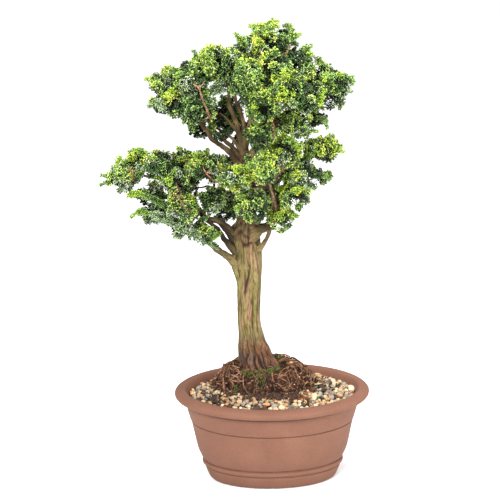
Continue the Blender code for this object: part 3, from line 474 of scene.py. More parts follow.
def mix(first, second, share):
    """Blend two linear colours, or arrays of them, by a share or an array of shares."""
    share = np.asarray(share, float)[..., None]
    return np.asarray(first) * (1 - share) + np.asarray(second) * share


def shades(first, second, share):
    """Blend two 0-255 colours into linear ones."""
    return mix(linear(first), linear(second), share)


def noise_of(points, scale, seed=0.0):
    """Smooth noise, about -1 to 1, at points; scale is the size of a lump."""
    shift = Vector((seed * 7.3, seed * 3.1, seed * 5.7))
    return np.array([noise.noise(Vector(p) / scale + shift) for p in points])


def unit(vectors):
    """Vectors at length 1."""
    vectors = np.asarray(vectors, float)
    return vectors / np.maximum(np.linalg.norm(vectors, axis=-1, keepdims=True), 1e-9)


def set_upright(points):
    """Measured points of the tree, upright and to scale."""
    upright = Matrix.Rotation(TREE_LEAN, 3, "Y")
    return [tuple(upright @ (Vector(p) - RIM_MIDDLE) * TREE_SCALE + RIM_MIDDLE) for p in points]


def circle(sides):
    """The angles of a ring with so many sides."""
    return math.tau * np.arange(sides) / sides


def level_ring(centre, half, z, angles):
    """Points of a level oval."""
    x = centre[0] + half[0] * np.cos(angles)
    y = centre[1] + half[1] * np.sin(angles)
    return np.stack([x, y, np.full(len(angles), float(z))], axis=1)


def jitter(rng, reach):
    """Three random values within reach of zero."""
    return [rng.uniform(-reach, reach) for _ in range(3)]


def any_angle(rng):
    """A random angle in radians."""
    return rng.uniform(0, math.tau)


def random_way(rng):
    """A vector that points any way."""
    return [rng.gauss(0, 1) for _ in range(3)]


def pick_colour(rng, palette):
    """A colour of a palette of (colour, weight)."""
    colours, weights = zip(*palette)
    return np.array(rng.choices(colours, weights)[0], float)


# Materials

def add_node(tree, kind, settings=None, **inputs):
    """A shader node with its settings and the values of its inputs."""
    made = tree.nodes.new(kind)
    for name, value in (settings or {}).items():
        setattr(made, name, value)
    for name, value in inputs.items():
        made.inputs[name].default_value = value
    return made


def new_material(name, roughness, specular=0.3):
    """A material, its node tree and its shader."""
    made = bpy.data.materials.new(name)
    made.use_nodes = True
    shader = made.node_tree.nodes["Principled BSDF"]
    shader.inputs["Roughness"].default_value = roughness
    shader.inputs["Specular IOR Level"].default_value = specular
    return made, made.node_tree, shader


def ramp(tree, factor, stops):
    """A colour ramp of (place, colour) stops on a factor."""
    made = add_node(tree, "ShaderNodeValToRGB")
    elements = made.color_ramp.elements
    while len(elements) < len(stops):
        elements.new(0.5)
    for element, (place, colour) in zip(elements, stops):
        element.position = place
        element.color = (*linear(colour), 1)
    tree.links.new(factor, made.inputs["Fac"])
    return made.outputs["Color"]


def multiply(tree, share, first, second):
    """The product of two colours, by a share."""
    made = add_node(tree, "ShaderNodeMix", {"data_type": "RGBA", "blend_type": "MULTIPLY"})
    made.inputs[0].default_value = share
    tree.links.new(first, made.inputs[6])
    tree.links.new(second, made.inputs[7])
    return made.outputs[2]


def carried(tree, name):
    """The outputs of what a piece's vertices carry."""
    return add_node(tree, "ShaderNodeAttribute", {"attribute_name": name}).outputs


def layered_material(name):
    """A material of noise layers, over vertex colour on what carries it; bark follows its grain."""
    roughness, specular, strength, depth, layers = MATERIALS[name]
    made, tree, shader = new_material(name, roughness, specular)
    if name == "bark":
        place, unit_size = carried(tree, "grain")["Vector"], 1
    else:
        place, unit_size = add_node(tree, "ShaderNodeTexCoord").outputs["Object"], MM
    colour = carried(tree, "tint")["Color"] if name in TINTED else None
    heights = []
    for size, detail, share, stops in layers:
        lumps = add_node(tree, "ShaderNodeTexNoise", Scale=1 / (size * unit_size), Detail=detail)
        tree.links.new(place, lumps.inputs["Vector"])
        heights.append(lumps.outputs["Fac"])
        shade = ramp(tree, heights[-1], stops)
        colour = shade if colour is None else multiply(tree, share, colour, shade)
    tree.links.new(colour, shader.inputs["Base Color"])
    bump = add_node(tree, "ShaderNodeBump", Strength=strength, Distance=depth * MM)
    tree.links.new(heights[0], bump.inputs["Height"])
    tree.links.new(bump.outputs["Normal"], shader.inputs["Normal"])
    return made


# Meshes

def add_object(name, data):
    """A new object in the scene."""
    made = bpy.data.objects.new(name, data)
    bpy.context.scene.collection.objects.link(made)
    return made


def add_mesh(name, points, faces, finish, tint=None, grain=None):
    """A piece of the plant from points in millimetres and arrays of faces with like corners."""
    points = np.asarray(points, float) * MM + MIDDLE
    counts = np.concatenate([np.full(len(group), group.shape[1]) for group in faces])
    corners = np.concatenate([group.ravel() for group in faces])
    mesh = bpy.data.meshes.new(name)
    mesh.vertices.add(len(points))
    mesh.vertices.foreach_set("co", points.ravel())
    mesh.loops.add(len(corners))
    mesh.loops.foreach_set("vertex_index", corners)
    mesh.polygons.add(len(counts))
    mesh.polygons.foreach_set("loop_start", np.cumsum(counts) - counts)
    mesh.polygons.foreach_set("loop_total", counts)
    mesh.update(calc_edges=True)
    if tint is not None:
        colours = np.hstack([np.clip(tint, 0, 1), np.ones((len(points), 1))])
        attribute = mesh.attributes.new("tint", "FLOAT_COLOR", "POINT")
        attribute.data.foreach_set("color", colours.ravel())
    if grain is not None:
        attribute = mesh.attributes.new("grain", "FLOAT_VECTOR", "POINT")
        attribute.data.foreach_set("vector", grain.ravel())
    mesh.shade_smooth()
    mesh.materials.append(finish)
    piece = add_object(name, mesh)
    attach(piece, "root")
    return piece


def grid_faces(rows, sides, closed=False):
    """Quads that skin rows of rings; a closed skin joins the last row to the first too."""
    row, side = np.meshgrid(np.arange(rows - 1 + closed), np.arange(sides), indexing="ij")
    here = row * sides
    above = (row + 1) % rows * sides
    across = (side + 1) % sides
    return np.stack([here + side, here + across, above + across, above + side], axis=-1).reshape(-1, 4)


def fan_faces(start, sides, centre, outward):
    """Triangles from a ring to a middle point."""
    here = start + np.arange(sides)
    across = start + (np.arange(sides) + 1) % sides
    first, second = (here, across) if outward else (across, here)
    return np.stack([first, second, np.full(sides, centre)], axis=-1)


def end_faces(rows, sides):
    """Triangles from the first and the last row to the two points that follow all rows."""
    first = fan_faces(0, sides, rows * sides, False)
    return np.vstack([first, fan_faces((rows - 1) * sides, sides, rows * sides + 1, True)])


def scale_faces(points):
    """The triangles of scales with four points each."""
    starts = np.arange(0, len(points), 4)[:, None, None]
    return (starts + np.array(SCALE_FACES)).reshape(-1, 3)


class Pile:
    """Parts of one mesh, gathered piece by piece."""

    def __init__(self):
        self.points = []
        self.tints = []
        self.grains = []
        self.quads = []
        self.triangles = []
        self.count = 0

    def add(self, points, tint, triangles, quads=None, grain=None):
        """Add points with their colours and faces; faces count from these points."""
        points = np.asarray(points, float)
        self.points.append(points)
        self.tints.append(np.broadcast_to(tint, points.shape))
        self.grains.append(points if grain is None else grain)
        self.triangles.append(np.asarray(triangles) + self.count)
        if quads is not None:
            self.quads.append(quads + self.count)
        self.count += len(points)

    def make(self, name, finish):
        """The piece that all the parts make."""
        faces = [np.concatenate(group) for group in (self.quads, self.triangles) if group]
        return add_mesh(name, np.concatenate(self.points), faces, finish,
                        np.concatenate(self.tints), np.concatenate(self.grains))


def curve_through(points, step):
    """Points about step apart on a smooth curve through points of any number of values."""
    points = np.asarray(points, float)
    found = []
    padded = np.vstack([2 * points[0] - points[1], points, 2 * points[-1] - points[-2]])
    for a, b, c, d in zip(padded, padded[1:], padded[2:], padded[3:]):
        count = max(1, round(np.linalg.norm((c - b)[:3]) / step))
        for share in np.arange(count) / count:
            found.append(0.5 * (
                2 * b + (c - a) * share + (2 * a - 5 * b + 4 * c - d) * share ** 2
                + (3 * b - a - 3 * c + d) * share ** 3))
    found.append(points[-1])
    return np.array(found)


def lengths_along(path):
    """How far each point of a path is from its start."""
    return np.concatenate([[0], np.cumsum(np.linalg.norm(np.diff(path, axis=0), axis=1))])


def frames_along(path):
    """Two side directions at each point of a path, turning as little as they can."""
    along = unit(np.gradient(path, axis=0))
    side = np.cross(along[0], (0.31, 0.17, 0.94))
    if np.linalg.norm(side) < 0.2:
        side = np.cross(along[0], (1, 0, 0))
    sides = []
    for direction in along:
        side = unit(side - direction * np.dot(side, direction))
        sides.append(side)
    return np.array(sides), np.cross(along, sides)


def add_tube(pile, path, radii, sides, tint, rough=0.0):
    """A closed tube along a path, its surface roughened by noise, ends drawn to points."""
    path = np.asarray(path, float)
    first, second = frames_along(path)
    angles = circle(sides)
    radii = np.broadcast_to(radii, len(path)).astype(float)[:, None]
    rounds = (first[:, None] * np.cos(angles)[None, :, None]
              + second[:, None] * np.sin(angles)[None, :, None])
    rings = path[:, None] + rounds * radii[..., None]
    if rough:
        push = noise_of(rings.reshape(-1, 3), ROUGH_SIZE).reshape(len(path), sides)
        rings = rings + rounds * (push * rough * radii)[..., None]
    rise = (lengths_along(path) * GRAIN_PITCH)[:, None]
    grain = np.stack(np.broadcast_arrays(
        np.cos(angles) * radii, np.sin(angles) * radii, rise), axis=-1).reshape(-1, 3)
    grain = np.vstack([grain, (0, 0, 0), (0, 0, rise[-1, 0])])
    points = np.vstack([rings.reshape(-1, 3), path[0], path[-1]])
    tint = np.asarray(tint, float)
    if tint.ndim == 2:
        tint = np.vstack([np.repeat(tint, sides, axis=0), tint[0], tint[-1]])
    pile.add(points, tint, end_faces(len(path), sides), grid_faces(len(path), sides), grain)


# Pot

def oval_ring(radius, z, angles):
    """A ring of the pot's oval, whose short half-width is less than the long one."""
    short = radius - OVAL_INSET
    if radius < ROUND_CORE:
        short = radius * (ROUND_CORE - OVAL_INSET) / ROUND_CORE
    return level_ring((0, 0), (radius, short), z, angles)


def soften(profile, rounds):
    """Round a profile's corners by cutting them, its ends kept."""
    points = np.asarray(profile, float)
    for _ in range(rounds):
        near = points[:-1] * (1 - CORNER_CUT) + points[1:] * CORNER_CUT
        far = points[:-1] * CORNER_CUT + points[1:] * (1 - CORNER_CUT)
        inner = np.stack([near, far], axis=1).reshape(-1, 2)
        points = np.vstack([points[0], inner, points[-1]])
    return points


def build_pot(clay):
    """The clay pot, its lip, incised line, belt and foot, drilled through twice."""
    profile = soften(POT_PROFILE, 2)
    points = np.concatenate([oval_ring(radius, z, circle(POT_SIDES)) for radius, z in profile])
    wobble = noise_of(points, POT_WOBBLE_SIZE) * POT_WOBBLE
    points[:, :2] *= 1 + wobble[:, None] / RIM_HALF
    faces = grid_faces(len(profile), POT_SIDES, True)[:, ::-1]
    pot = add_mesh("clay_pot", points, [faces], clay)
    for x in (-DRAIN_HOLE_X, DRAIN_HOLE_X):
        drill = drain_drill(x)
        boolean = pot.modifiers.new("drill", "BOOLEAN")
        boolean.operation = "DIFFERENCE"
        boolean.object = drill
        boolean.solver = "EXACT"
        apply_modifier(pot)
        bpy.data.objects.remove(drill, do_unlink=True)
    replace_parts(pot, "pot")


def drain_drill(x):
    """A round cutter through the pot's floor."""
    half = (DRAIN_HOLE_RADIUS, DRAIN_HOLE_RADIUS)
    rings = [level_ring((x, 0), half, z, circle(DRILL_SIDES)) for z in DRILL_HEIGHTS]
    end = list(range(DRILL_SIDES))
    faces = [end[::-1], [corner + DRILL_SIDES for corner in end], *grid_faces(2, DRILL_SIDES).tolist()]
    mesh = bpy.data.meshes.new("drain_drill")
    mesh.from_pydata((np.concatenate(rings) * MM + MIDDLE).tolist(), [], faces)
    return add_object("drain_drill", mesh)


def apply_modifier(piece):
    """Give a piece the mesh that its modifiers make."""
    bpy.context.view_layer.update()
    graph = bpy.context.evaluated_depsgraph_get()
    mesh = bpy.data.meshes.new_from_object(piece.evaluated_get(graph))
    piece.modifiers.clear()
    piece.data = mesh


# Mound

def inner_wall(z):
    """The pot's inner half-length at a height."""
    lengths, heights = zip(*INNER_WALL)
    return float(np.interp(z, heights, lengths))


def mound_oval(share):
    """The mound's centre and half-lengths at a share of its climb."""
    centre = np.array(MOUND_CENTRE) * (1 - share) + np.array(PLATEAU_CENTRE) * share
    half = np.array(MOUND_HALF) * (1 - share) + np.array(PLATEAU_HALF) * share
    return centre, half


def climb(share):
    """The mound's height at a share of its climb, from its shoulder (0) to the plateau (1)."""
    return MOUND_SHOULDER + (PLATEAU - MOUND_SHOULDER) * math.sin(share * math.pi / 2)


def mound_ring(share, angles):
    """Points of the mound at a share of its climb."""
    return level_ring(*mound_oval(share), climb(share), angles)


def mound_height(x, y):
    """Height of the mound's smooth surface over a point, or None outside the mound."""
    def inside(share):
        centre, half = mound_oval(share)
        return math.hypot((x - centre[0]) / half[0], (y - centre[1]) / half[1]) < 1
    if not inside(0):
        return None
    if inside(1):
        return PLATEAU
    low, high = 0.0, 1.0
    for _ in range(12):
        half_way = (low + high) / 2
        low, high = (half_way, high) if inside(half_way) else (low, half_way)
    return climb(low)


def lump(x, y, z):
    """Small lumps of the mound's surface."""
    place = Vector((x, y, z))
    return 2.6 * noise.noise(place / 11) + 1.5 * noise.noise(place / 4)


def build_mound(earth):
    """Soil that fills the pot and rises in a mound round the trunk's foot."""
    angles = circle(SOIL_SIDES)
    rings = [oval_ring(inner_wall(z) - inset, z, angles) for z, inset in SOIL_RINGS]
    rings.append(level_ring(*mound_oval(0), SOIL_TOP, angles))
    smooth_rows = len(rings)
    rings += [mound_ring(share, angles) for share in np.linspace(0, 1, MOUND_ROWS)]
    plateau = mound_ring(1, angles)
    foot = np.array([*TRUNK_FOOT, PLATEAU + 1])
    rings += [plateau + (foot - plateau) * share for share in np.linspace(0.08, 1, PLATEAU_ROWS)[:-1]]
    points = np.concatenate(rings + [foot[None]])
    for point in points[smooth_rows * SOIL_SIDES:]:
        place = Vector(point)
        point[2] += lump(*place)
        point[:2] += noise.noise(place / 6 + Vector((9, 0, 0))) * 1.2
    points = np.vstack([points, points[:SOIL_SIDES].mean(axis=0)])
    tint = shades(*SOIL_COLOURS, smooth_step(-0.5, 0.6, noise_of(points, 5, 3)))
    rows = len(rings)
    triangles = np.vstack([
        fan_faces((rows - 1) * SOIL_SIDES, SOIL_SIDES, rows * SOIL_SIDES, True),
        fan_faces(0, SOIL_SIDES, rows * SOIL_SIDES + 1, False)])
    faces = [grid_faces(rows, SOIL_SIDES), triangles]
    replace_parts(add_mesh("earth_mound", points, faces, earth, tint), "soil_mound")


def ground_height(x, y):
    """Height of the lumpy mound, or of the gravel beside it."""
    z = mound_height(x, y)
    return gravel_slope(x, y) + 2.2 if z is None else z + lump(x, y, z)


def root_path(x, y, heading, length, lift, rng):
    """A wandering line over the ground, weaving up and down about a lift."""
    points = []
    phase = any_angle(rng)
    bend = rng.uniform(-0.16, 0.16)
    for number in range(max(3, round(length / ROOT_STEP))):
        wave = 0.7 * math.sin(phase + number * 0.9)
        points.append((x, y, ground_height(x, y) + lift + wave))
        heading += bend + rng.uniform(-0.28, 0.28)
        x += ROOT_STEP * math.cos(heading)
        y += ROOT_STEP * math.sin(heading)
    return np.array(points)


def mound_spot(rng, low, high):
    """A random point of the mound between two shares of its climb, and its angle."""
    share = rng.uniform(low, high)
    angle = any_angle(rng)
    x, y, _ = mound_ring(share, np.array([angle]))[0]
    return x, y, angle


def by_trunk(reach, angle):
    """A point at a reach from the middle of the trunk's foot."""
    return TRUNK_FOOT[0] + reach * math.cos(angle), TRUNK_FOOT[1] + reach * math.sin(angle)


def build_roots(earth):
    """Fibrous roots woven over the mound, thicker ones that leave the trunk's foot."""
    rng = random.Random(23)
    pile = Pile()
    for number in range(THICK_ROOTS):
        angle = math.tau * (number + rng.uniform(-0.3, 0.3)) / THICK_ROOTS
        bearing = angle + rng.uniform(-0.6, 0.6)
        x, y = by_trunk(THICK_ROOT_START, angle)
        path = curve_through(root_path(x, y, bearing, rng.uniform(20, 42), 0.2, rng), 1.6)
        thick = rng.uniform(1.6, 3.2)
        colour = linear(pick_colour(rng, ROOT_COLOURS[:3]) * 0.8)
        add_tube(pile, path, np.linspace(thick, thick * 0.3, len(path)), 8, colour, rough=0.25)
    for number in range(FINE_ROOTS):
        x, y, angle = mound_spot(rng, -0.16, 1.05)
        if number < FOOT_ROOTS:
            x, y = by_trunk(rng.uniform(23, 29), angle)
        heading = angle + math.pi / 2 * rng.choice((-1, 1)) + rng.gauss(0, 0.7)
        lift = rng.uniform(0.2, 3.2)
        path = root_path(x, y, heading, rng.uniform(6, 24), lift, rng)
        thick = rng.uniform(0.3, 0.72)
        sizes = thick * np.sin(np.linspace(0.7, 2.8, len(path)))
        colour = linear(pick_colour(rng, ROOT_COLOURS) * rng.uniform(0.5, 1.25))
        add_tube(pile, path, sizes, 3 if thick < 0.6 else 4, colour)
    pile.make("surface_roots", earth)


def build_chips(stone):
    """Bits of bark and wood on the mound, a stub at its left and a chip at its right."""
    rng = random.Random(31)
    kinds, faces = stone_kinds(rng, 5, 1)
    pile = Pile()
    for _ in range(CHIPS):
        x, y, _ = mound_spot(rng, -0.1, 1.0)
        size = rng.uniform(0.9, 2.1)
        long = rng.choice((1.1, 1.3, 2.4))
        shape = kinds[rng.randrange(5)] * (size * long, size * 0.95, size * 0.7)
        turn = Matrix.Rotation(any_angle(rng), 3, "Z") @ Matrix.Rotation(rng.uniform(-0.5, 0.5), 3, "Y")
        place = (x, y, ground_height(x, y) + rng.uniform(0.3, 1.6))
        colour = linear(pick_colour(rng, ROOT_COLOURS) * rng.uniform(0.9, 1.2))
        pile.add(shape @ np.array(turn).T + place, colour, faces)
    for middle, spread, count, colour in LITTER:
        for _ in range(count):
            x, y = (value + rng.gauss(0, spread / 2) for value in middle)
            size = rng.uniform(0.8, 2.0)
            shape = kinds[rng.randrange(5)] * (size * rng.choice((1, 1.2, 2.6)), size, size * 0.8)
            place = (x, y, gravel_slope(x, y) + rng.uniform(2.4, 5.2))
            tone = linear(np.array(colour) * rng.uniform(0.7, 1.25))
            pile.add(shape @ turn_matrix(rng).T + place, tone, faces)
    for (x, y, lift), size, colour in BIG_CHIPS:
        pile.add(kinds[1] * size + (x, y, ground_height(x, y) + lift), linear(colour), faces)
    foot = np.array([*STUB, ground_height(*STUB) - 2])
    add_tube(pile, foot + STUB_RISES, STUB_RADII, 6, linear(STUB_COLOUR))
    pile.make("bark_chips", stone)


def build_moss(leaf):
    """Soft green moss in tufts of short shoots at the trunk's foot."""
    rng = random.Random(37)
    pile = Pile()
    for middle_x, middle_y, size in MOSS:
        for _ in range(int(20 * size)):
            spread = 1.3 * size * math.sqrt(rng.random())
            angle = any_angle(rng)
            x = middle_x + spread * math.cos(angle)
            y = middle_y + spread * math.sin(angle) * 0.8
            foot = np.array([x, y, ground_height(x, y) + rng.uniform(0.6, 2.6)])
            lean = np.array([rng.uniform(-1, 1), rng.uniform(-1, 1), rng.uniform(1.6, 3.4)])
            side = unit(np.cross(lean, (rng.uniform(-1, 1), 1, 0))) * MOSS_WIDTH
            other = unit(np.cross(lean, side)) * MOSS_WIDTH
            back = foot - side * 0.5
            green = np.array(rng.choice(MOSS_GREENS), float)
            tint = linear(np.array([green * 0.5] * 3 + [green * rng.uniform(0.9, 1.15)]))
            pile.add([foot + side, back + other, back - other, foot + lean], tint, MOSS_FACES)
    pile.make("moss", leaf)


# Gravel

def stone_kinds(rng, count, subdivisions):
    """Round-cornered pebble shapes: a ball with flats cut on it."""
    bpy.ops.mesh.primitive_ico_sphere_add(subdivisions=subdivisions, radius=1)
    ball = bpy.context.object
    points = np.array([v.co for v in ball.data.vertices])
    faces = np.array([tuple(p.vertices) for p in ball.data.polygons])
    bpy.data.objects.remove(ball, do_unlink=True)
    kinds = []
    for _ in range(count):
        shape = points.copy()
        for _ in range(STONE_FLATS):
            normal = unit(random_way(rng))
            over = np.maximum(shape @ normal - rng.uniform(0.55, 0.86), 0)
            shape -= over[:, None] * normal * 0.97
        shape *= (rng.uniform(0.95, 1.25), rng.uniform(0.75, 1.0), rng.uniform(0.6, 0.85))
        kinds.append(shape)
    return kinds, faces


def turn_matrix(rng):
    """A random rotation as an array."""
    axis = Vector(random_way(rng)).normalized()
    return np.array(Matrix.Rotation(any_angle(rng), 3, axis))


def gravel_place(rng):
    """A random place between the mound and the pot's wall."""
    wall = inner_wall(GRAVEL_WALL) - 3.2
    while True:
        x = rng.uniform(-wall, wall)
        y = rng.uniform(-wall, wall)
        near = math.hypot((x - MOUND_CENTRE[0]) / (MOUND_HALF[0] - 3),
                          (y - MOUND_CENTRE[1]) / (MOUND_HALF[1] - 3))
        if math.hypot(x / wall, y / (wall - OVAL_INSET)) < 1 < near:
            return x, y


def build_gravel(stone):
    """Loose stones of many colours in two layers on a dark gritty bed."""
    rng = random.Random(7)
    kinds, faces = stone_kinds(rng, 10, 2)
    pile = Pile()
    for layer, (count, low, high) in enumerate(STONE_LAYERS):
        placed = []
        for _ in range(STONE_TRIES):
            if len(placed) == count:
                break
            x, y = gravel_place(rng)
            size = low + (high - low) * rng.random() ** 1.7
            if any(math.hypot(x - a, y - b) < (size + c) * STONE_SPACING for a, b, c in placed):
                continue
            placed.append((x, y, size))
            z = gravel_slope(x, y) - 2.4 + layer * LAYER_HEIGHT + rng.uniform(-0.6, 0.8)
            turn = turn_matrix(rng)
            points = kinds[rng.randrange(len(kinds))] * size @ turn.T
            points[:, 2] *= 0.85
            colour = linear(pick_colour(rng, STONE_COLOURS) * rng.uniform(0.84, 1.02))
            pile.add(points + (x, y, z), colour, faces)
    for x, y in GREEN_GRAINS:
        points = kinds[0] * GREEN_GRAIN_RADIUS + (x, y, gravel_slope(x, y) + 4.2)
        pile.add(points, linear(GREEN_GRAIN_COLOUR), faces)
    gravel = pile.make("gravel_stones", stone)
    gravel.data.shade_flat()
    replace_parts(gravel, "gravel")


def gravel_slope(x, y):
    """The gravel's mean height: a gentle slope down from the mound to the wall."""
    wall = inner_wall(GRAVEL_WALL)
    out = math.hypot(x / wall, y / (wall - OVAL_INSET))
    return GRAVEL_HIGH - GRAVEL_FALL * smooth_step(0.55, 1.0, out)


def build_bed(earth):
    """Dark grit under the stones, closed underneath."""
    angles = circle(BED_SIDES)
    wall = inner_wall(BED_OUTER + 1) - 0.8
    outer, under_outer = (oval_ring(wall, z, angles) for z in (BED_OUTER, BED_UNDER))
    inner, under_inner = (level_ring(*mound_oval(0), z, angles) for z in (BED_INNER, BED_UNDER))
    rings = [outer + (inner - outer) * share for share in np.linspace(0, 1, BED_ROWS)]
    rings = [under_outer, *rings, under_inner]
    points = np.concatenate(rings)
    top = slice(2 * BED_SIDES, (len(rings) - 2) * BED_SIDES)
    points[top, 2] += noise_of(points[top], 4, 2) * 1.4
    tint = shades(*BED_COLOURS, smooth_step(-0.4, 0.5, noise_of(points, 3)))
    add_mesh("gravel_bed", points, [grid_faces(len(rings), BED_SIDES, True)], earth, tint)


# Wood

def bark_noise(around, z, size, length, shift=0.0):
    """Noise round a section, in lumps of a size across the bark and a length along it."""
    return np.array([noise.noise(Vector((a / size + shift, b / size, z / length))) for a, b in around])


def beside(angles, bearing):
    """How far angles lie from a bearing in degrees, the short way round."""
    return np.angle(np.exp(1j * (angles - math.radians(bearing))))


def hump(angles, bearing, wide, power=2):
    """1 at a bearing, falling away to both sides."""
    return np.exp(-(beside(angles, bearing) / wide) ** power)


def peak(z, height, tall, power=2):
    """1 at a height, falling away above and below."""
    return math.exp(-((z - height) / tall) ** power)


def furrows(values, wide, power=1.5):
    """1 where noise changes sign, 0 beyond a width."""
    return np.maximum(0, 1 - np.abs(values) / wide) ** power


def trunk_row(x, y, z, radius, angles):
    """One section of the trunk: its points, its bark's strips and how dark its furrows are, as painted
    shade in its furrows, cracks, splits, seam and hollow.
    """
    centre = set_upright([(x, y, z)])[0]
    size = min(1.0, radius / 14)
    rooty = float(smooth_step(*ROOTY_FOOT, z))
    gnarl = float(smooth_step(*GNARLED_TOP, z))
    twist = angles + 0.12 * math.sin(z / 60) + z / 900
    around = np.stack([np.cos(twist) * 16, np.sin(twist) * 16], axis=1)
    strip = bark_noise(around, z, 4.6, 75)
    furrow = furrows(strip, 0.17)
    crack = furrows(bark_noise(around, z, 2.0, 34, 9), 0.2)
    root = bark_noise(around, z, 6.4, 160, 4)
    knots = bark_noise(around, z, 7, 7, 2)

    split = furrows(root, 0.15, 1.3) * rooty * 0.35
    for number, bearing in enumerate(FOOT_FURROWS):
        wander = 0.09 * math.sin(z / 8 + number * 1.9) + 0.05 * math.sin(z / 3.1 + number)
        split = np.maximum(split, hump(angles - wander, bearing, FURROW_WIDE) * rooty)
    seam = hump(angles, SEAM_BEARING + SEAM_TURN * (z - SEAM_START), 0.09) * peak(z, SEAM_HEIGHT, 17, 4)
    shoulder = smooth_step(*SHOULDER_RISE, z) * smooth_step(*SHOULDER_FALL, z)
    shoulder = shoulder * hump(angles, SHOULDER_BEARING, 0.55)
    burl = hump(angles, BURL_BEARING, BURL_WIDE) * peak(z, BURL_HEIGHT, 10)
    arc = z - HOLLOW_HEIGHT - 8 * (beside(angles, BURL_BEARING) / 0.6) ** 2
    hollow = np.exp(-(arc / 2.6) ** 2) * hump(angles, BURL_BEARING, BURL_WIDE, 4)

    foot = max(0.0, 1 - abs(z - PLATEAU - 8) / 22)
    flute = np.sin(4 * angles + z / 45) + 0.6 * np.sin(7 * angles - z / 60)
    lobe = np.sin(3 * angles + 0.6)
    radii = radius * (1 + FLUTE * flute * min(1, radius / 12) + ROOT_LOBE * lobe * foot)
    radii += (strip * 0.9 - furrow * 1.1 - crack * 0.4 + GNARL_OUT * gnarl * knots) * size
    radii += rooty * (1 + 3 * abs(root)) - ROOT_SPLIT * split + SHOULDER_OUT * shoulder
    radii += BURL_OUT * burl - SEAM_DEEP * seam - HOLLOW_DEEP * hollow
    # painted shade: dark in the furrows, cracks, root splits, seam, the hollow under the burl and between
    # the knots
    dark = furrow * 0.85 + crack * 0.42 + split + seam + hollow
    dark = np.clip(dark + 0.8 * gnarl * smooth_step(0.05, -0.3, knots), 0, 1)
    return level_ring(centre, (radii, radii), centre[2], angles), strip, dark


def trunk_colours(points, strip, dark, z, angles):
    """Bark colours of one section, with painted shade in its furrows and hollow and under the crown."""
    colour = shades(OLIVE, TAN, smooth_step(-0.35, 0.3, strip))
    blush = noise_of(points * (1, 1, 0.18), 4.5, 5)
    colour = mix(colour, linear(PINK), 0.7 * smooth_step(0.15, 0.45, blush))
    green = noise_of(points * (1, 1, 0.35), 7, 8) + 0.3 * np.cos(angles)
    colour = mix(colour, linear(BARK_MOSS), 0.7 * smooth_step(0.18, 0.6, green))
    colour = colour * (1 - 0.28 * smooth_step(*SHADED_FOOT, z))
    ruddy = noise_of(points * (1, 1, 0.4), 6, 15)
    ruddy = shades(RUDDY, GREY_BROWN, smooth_step(-0.2, 0.25, ruddy))
    colour = mix(colour, ruddy, 0.85 * smooth_step(*RUDDY_FOOT, z))
    # painted shade: the upper trunk darkened to olive under the crown
    colour = mix(colour, linear(CROWN_SHADE), 0.75 * smooth_step(*CROWN_SHADE_TOP, z))
    for bearing, height, wide, tall, tone, share in BARK_PATCHES:
        spread = hump(angles, bearing, wide) * peak(z, height, tall)
        colour = mix(colour, linear(tone), share * spread)
    # painted shade: the furrows and hollow mixed towards SHADOW
    return mix(colour * BARK_TONE, linear(SHADOW), 0.9 * dark)


def build_trunk(pile):
    """The trunk, rooted in the mound; gives its sections back."""
    angles = circle(TRUNK_SIDES)
    sections = curve_through(TRUNK, TRUNK_STEP)
    rows = []
    tints = []
    grains = []
    for x, y, z, radius in sections:
        points, strip, dark = trunk_row(x, y, z, radius, angles)
        rows.append(points)
        tints.append(trunk_colours(points, strip, dark, z, angles))
        grains.append(level_ring((0, 0), (radius, radius), z * GRAIN_PITCH, angles))
    foot = rows[0].mean(axis=0)
    top = rows[-1].mean(axis=0) + (0, 0, 2)
    count = len(sections)
    pile.add(np.vstack(rows + [foot, top]), np.vstack(tints + [tints[0][0], tints[-1][0]]),
             end_faces(count, TRUNK_SIDES), grid_faces(count, TRUNK_SIDES),
             np.vstack(grains + [(0, 0, 0), (0, 0, 0)]))
    return sections


def trunk_distance(point, sections):
    """How far a point is outside the trunk."""
    away = np.linalg.norm(np.array(set_upright(sections[:, :3])) - point, axis=1)
    nearest = np.argmin(away)
    return away[nearest] - sections[nearest][3]


def build_limb(pile, name, sections):
    """One limb with a swollen collar where it leaves the trunk."""
    first, last, points = LIMBS[name]
    path = curve_through(set_upright(points), LIMB_STEP)
    count = len(path)
    wobble = np.stack([noise_of(path, 14, seed) for seed in (11, 12, 13)], axis=1)
    path = path + wobble * 1.6 * np.minimum(1, np.arange(count) / 6)[:, None]
    lengths = lengths_along(path)
    outside = np.argmax([trunk_distance(p, sections) > 0 for p in path])
    past = np.maximum(0, lengths - lengths[outside])
    radii = first + (last - first) * np.arange(count) / (count - 1)
    radii = radii * (1 + 0.55 * np.exp(-past / (2.2 * first)))
    radii = radii * (1 + 0.12 * noise_of(path, 6, 21))
    colour = shades(*LIMB_BROWNS, smooth_step(-0.5, 0.5, noise_of(path, 12, 4)))
    colour = mix(colour, linear(LIMB_GREEN), 0.5 * smooth_step(0.0, 0.5, noise_of(path, 16, 6)))
    tan = 0.8 * np.exp(-past / 10) * smooth_step(*LIMB_TAN_FOOT, path[:, 2])
    colour = mix(colour, linear(LIMB_TAN), tan) * LIMB_TONES.get(name, 1.0)
    add_tube(pile, path, radii, 14 if first > 2.6 else 10, colour, rough=0.22)
    return path, radii


# Foliage

def tuft_kinds(rng, tilts, scales):
    """Tufts of leafy fans round an axis: the points of each, four a scale."""
    kinds = []
    for _ in range(TUFT_KINDS):
        fans = []
        for number, tilt in enumerate(tilts):
            tilt = math.radians(tilt + rng.uniform(-9, 9))
            turn = number * 1.62 + rng.uniform(-0.3, 0.3)
            lean = Matrix.Rotation(turn, 3, "Z") @ Matrix.Rotation(tilt, 3, "Y")
            roll = Matrix.Rotation(math.radians(rng.uniform(-30, 30)), 3, "Z")
            fans.append(fan_points(rng, scales) @ np.array(lean @ roll).T)
        kinds.append(np.concatenate(fans))
    return kinds


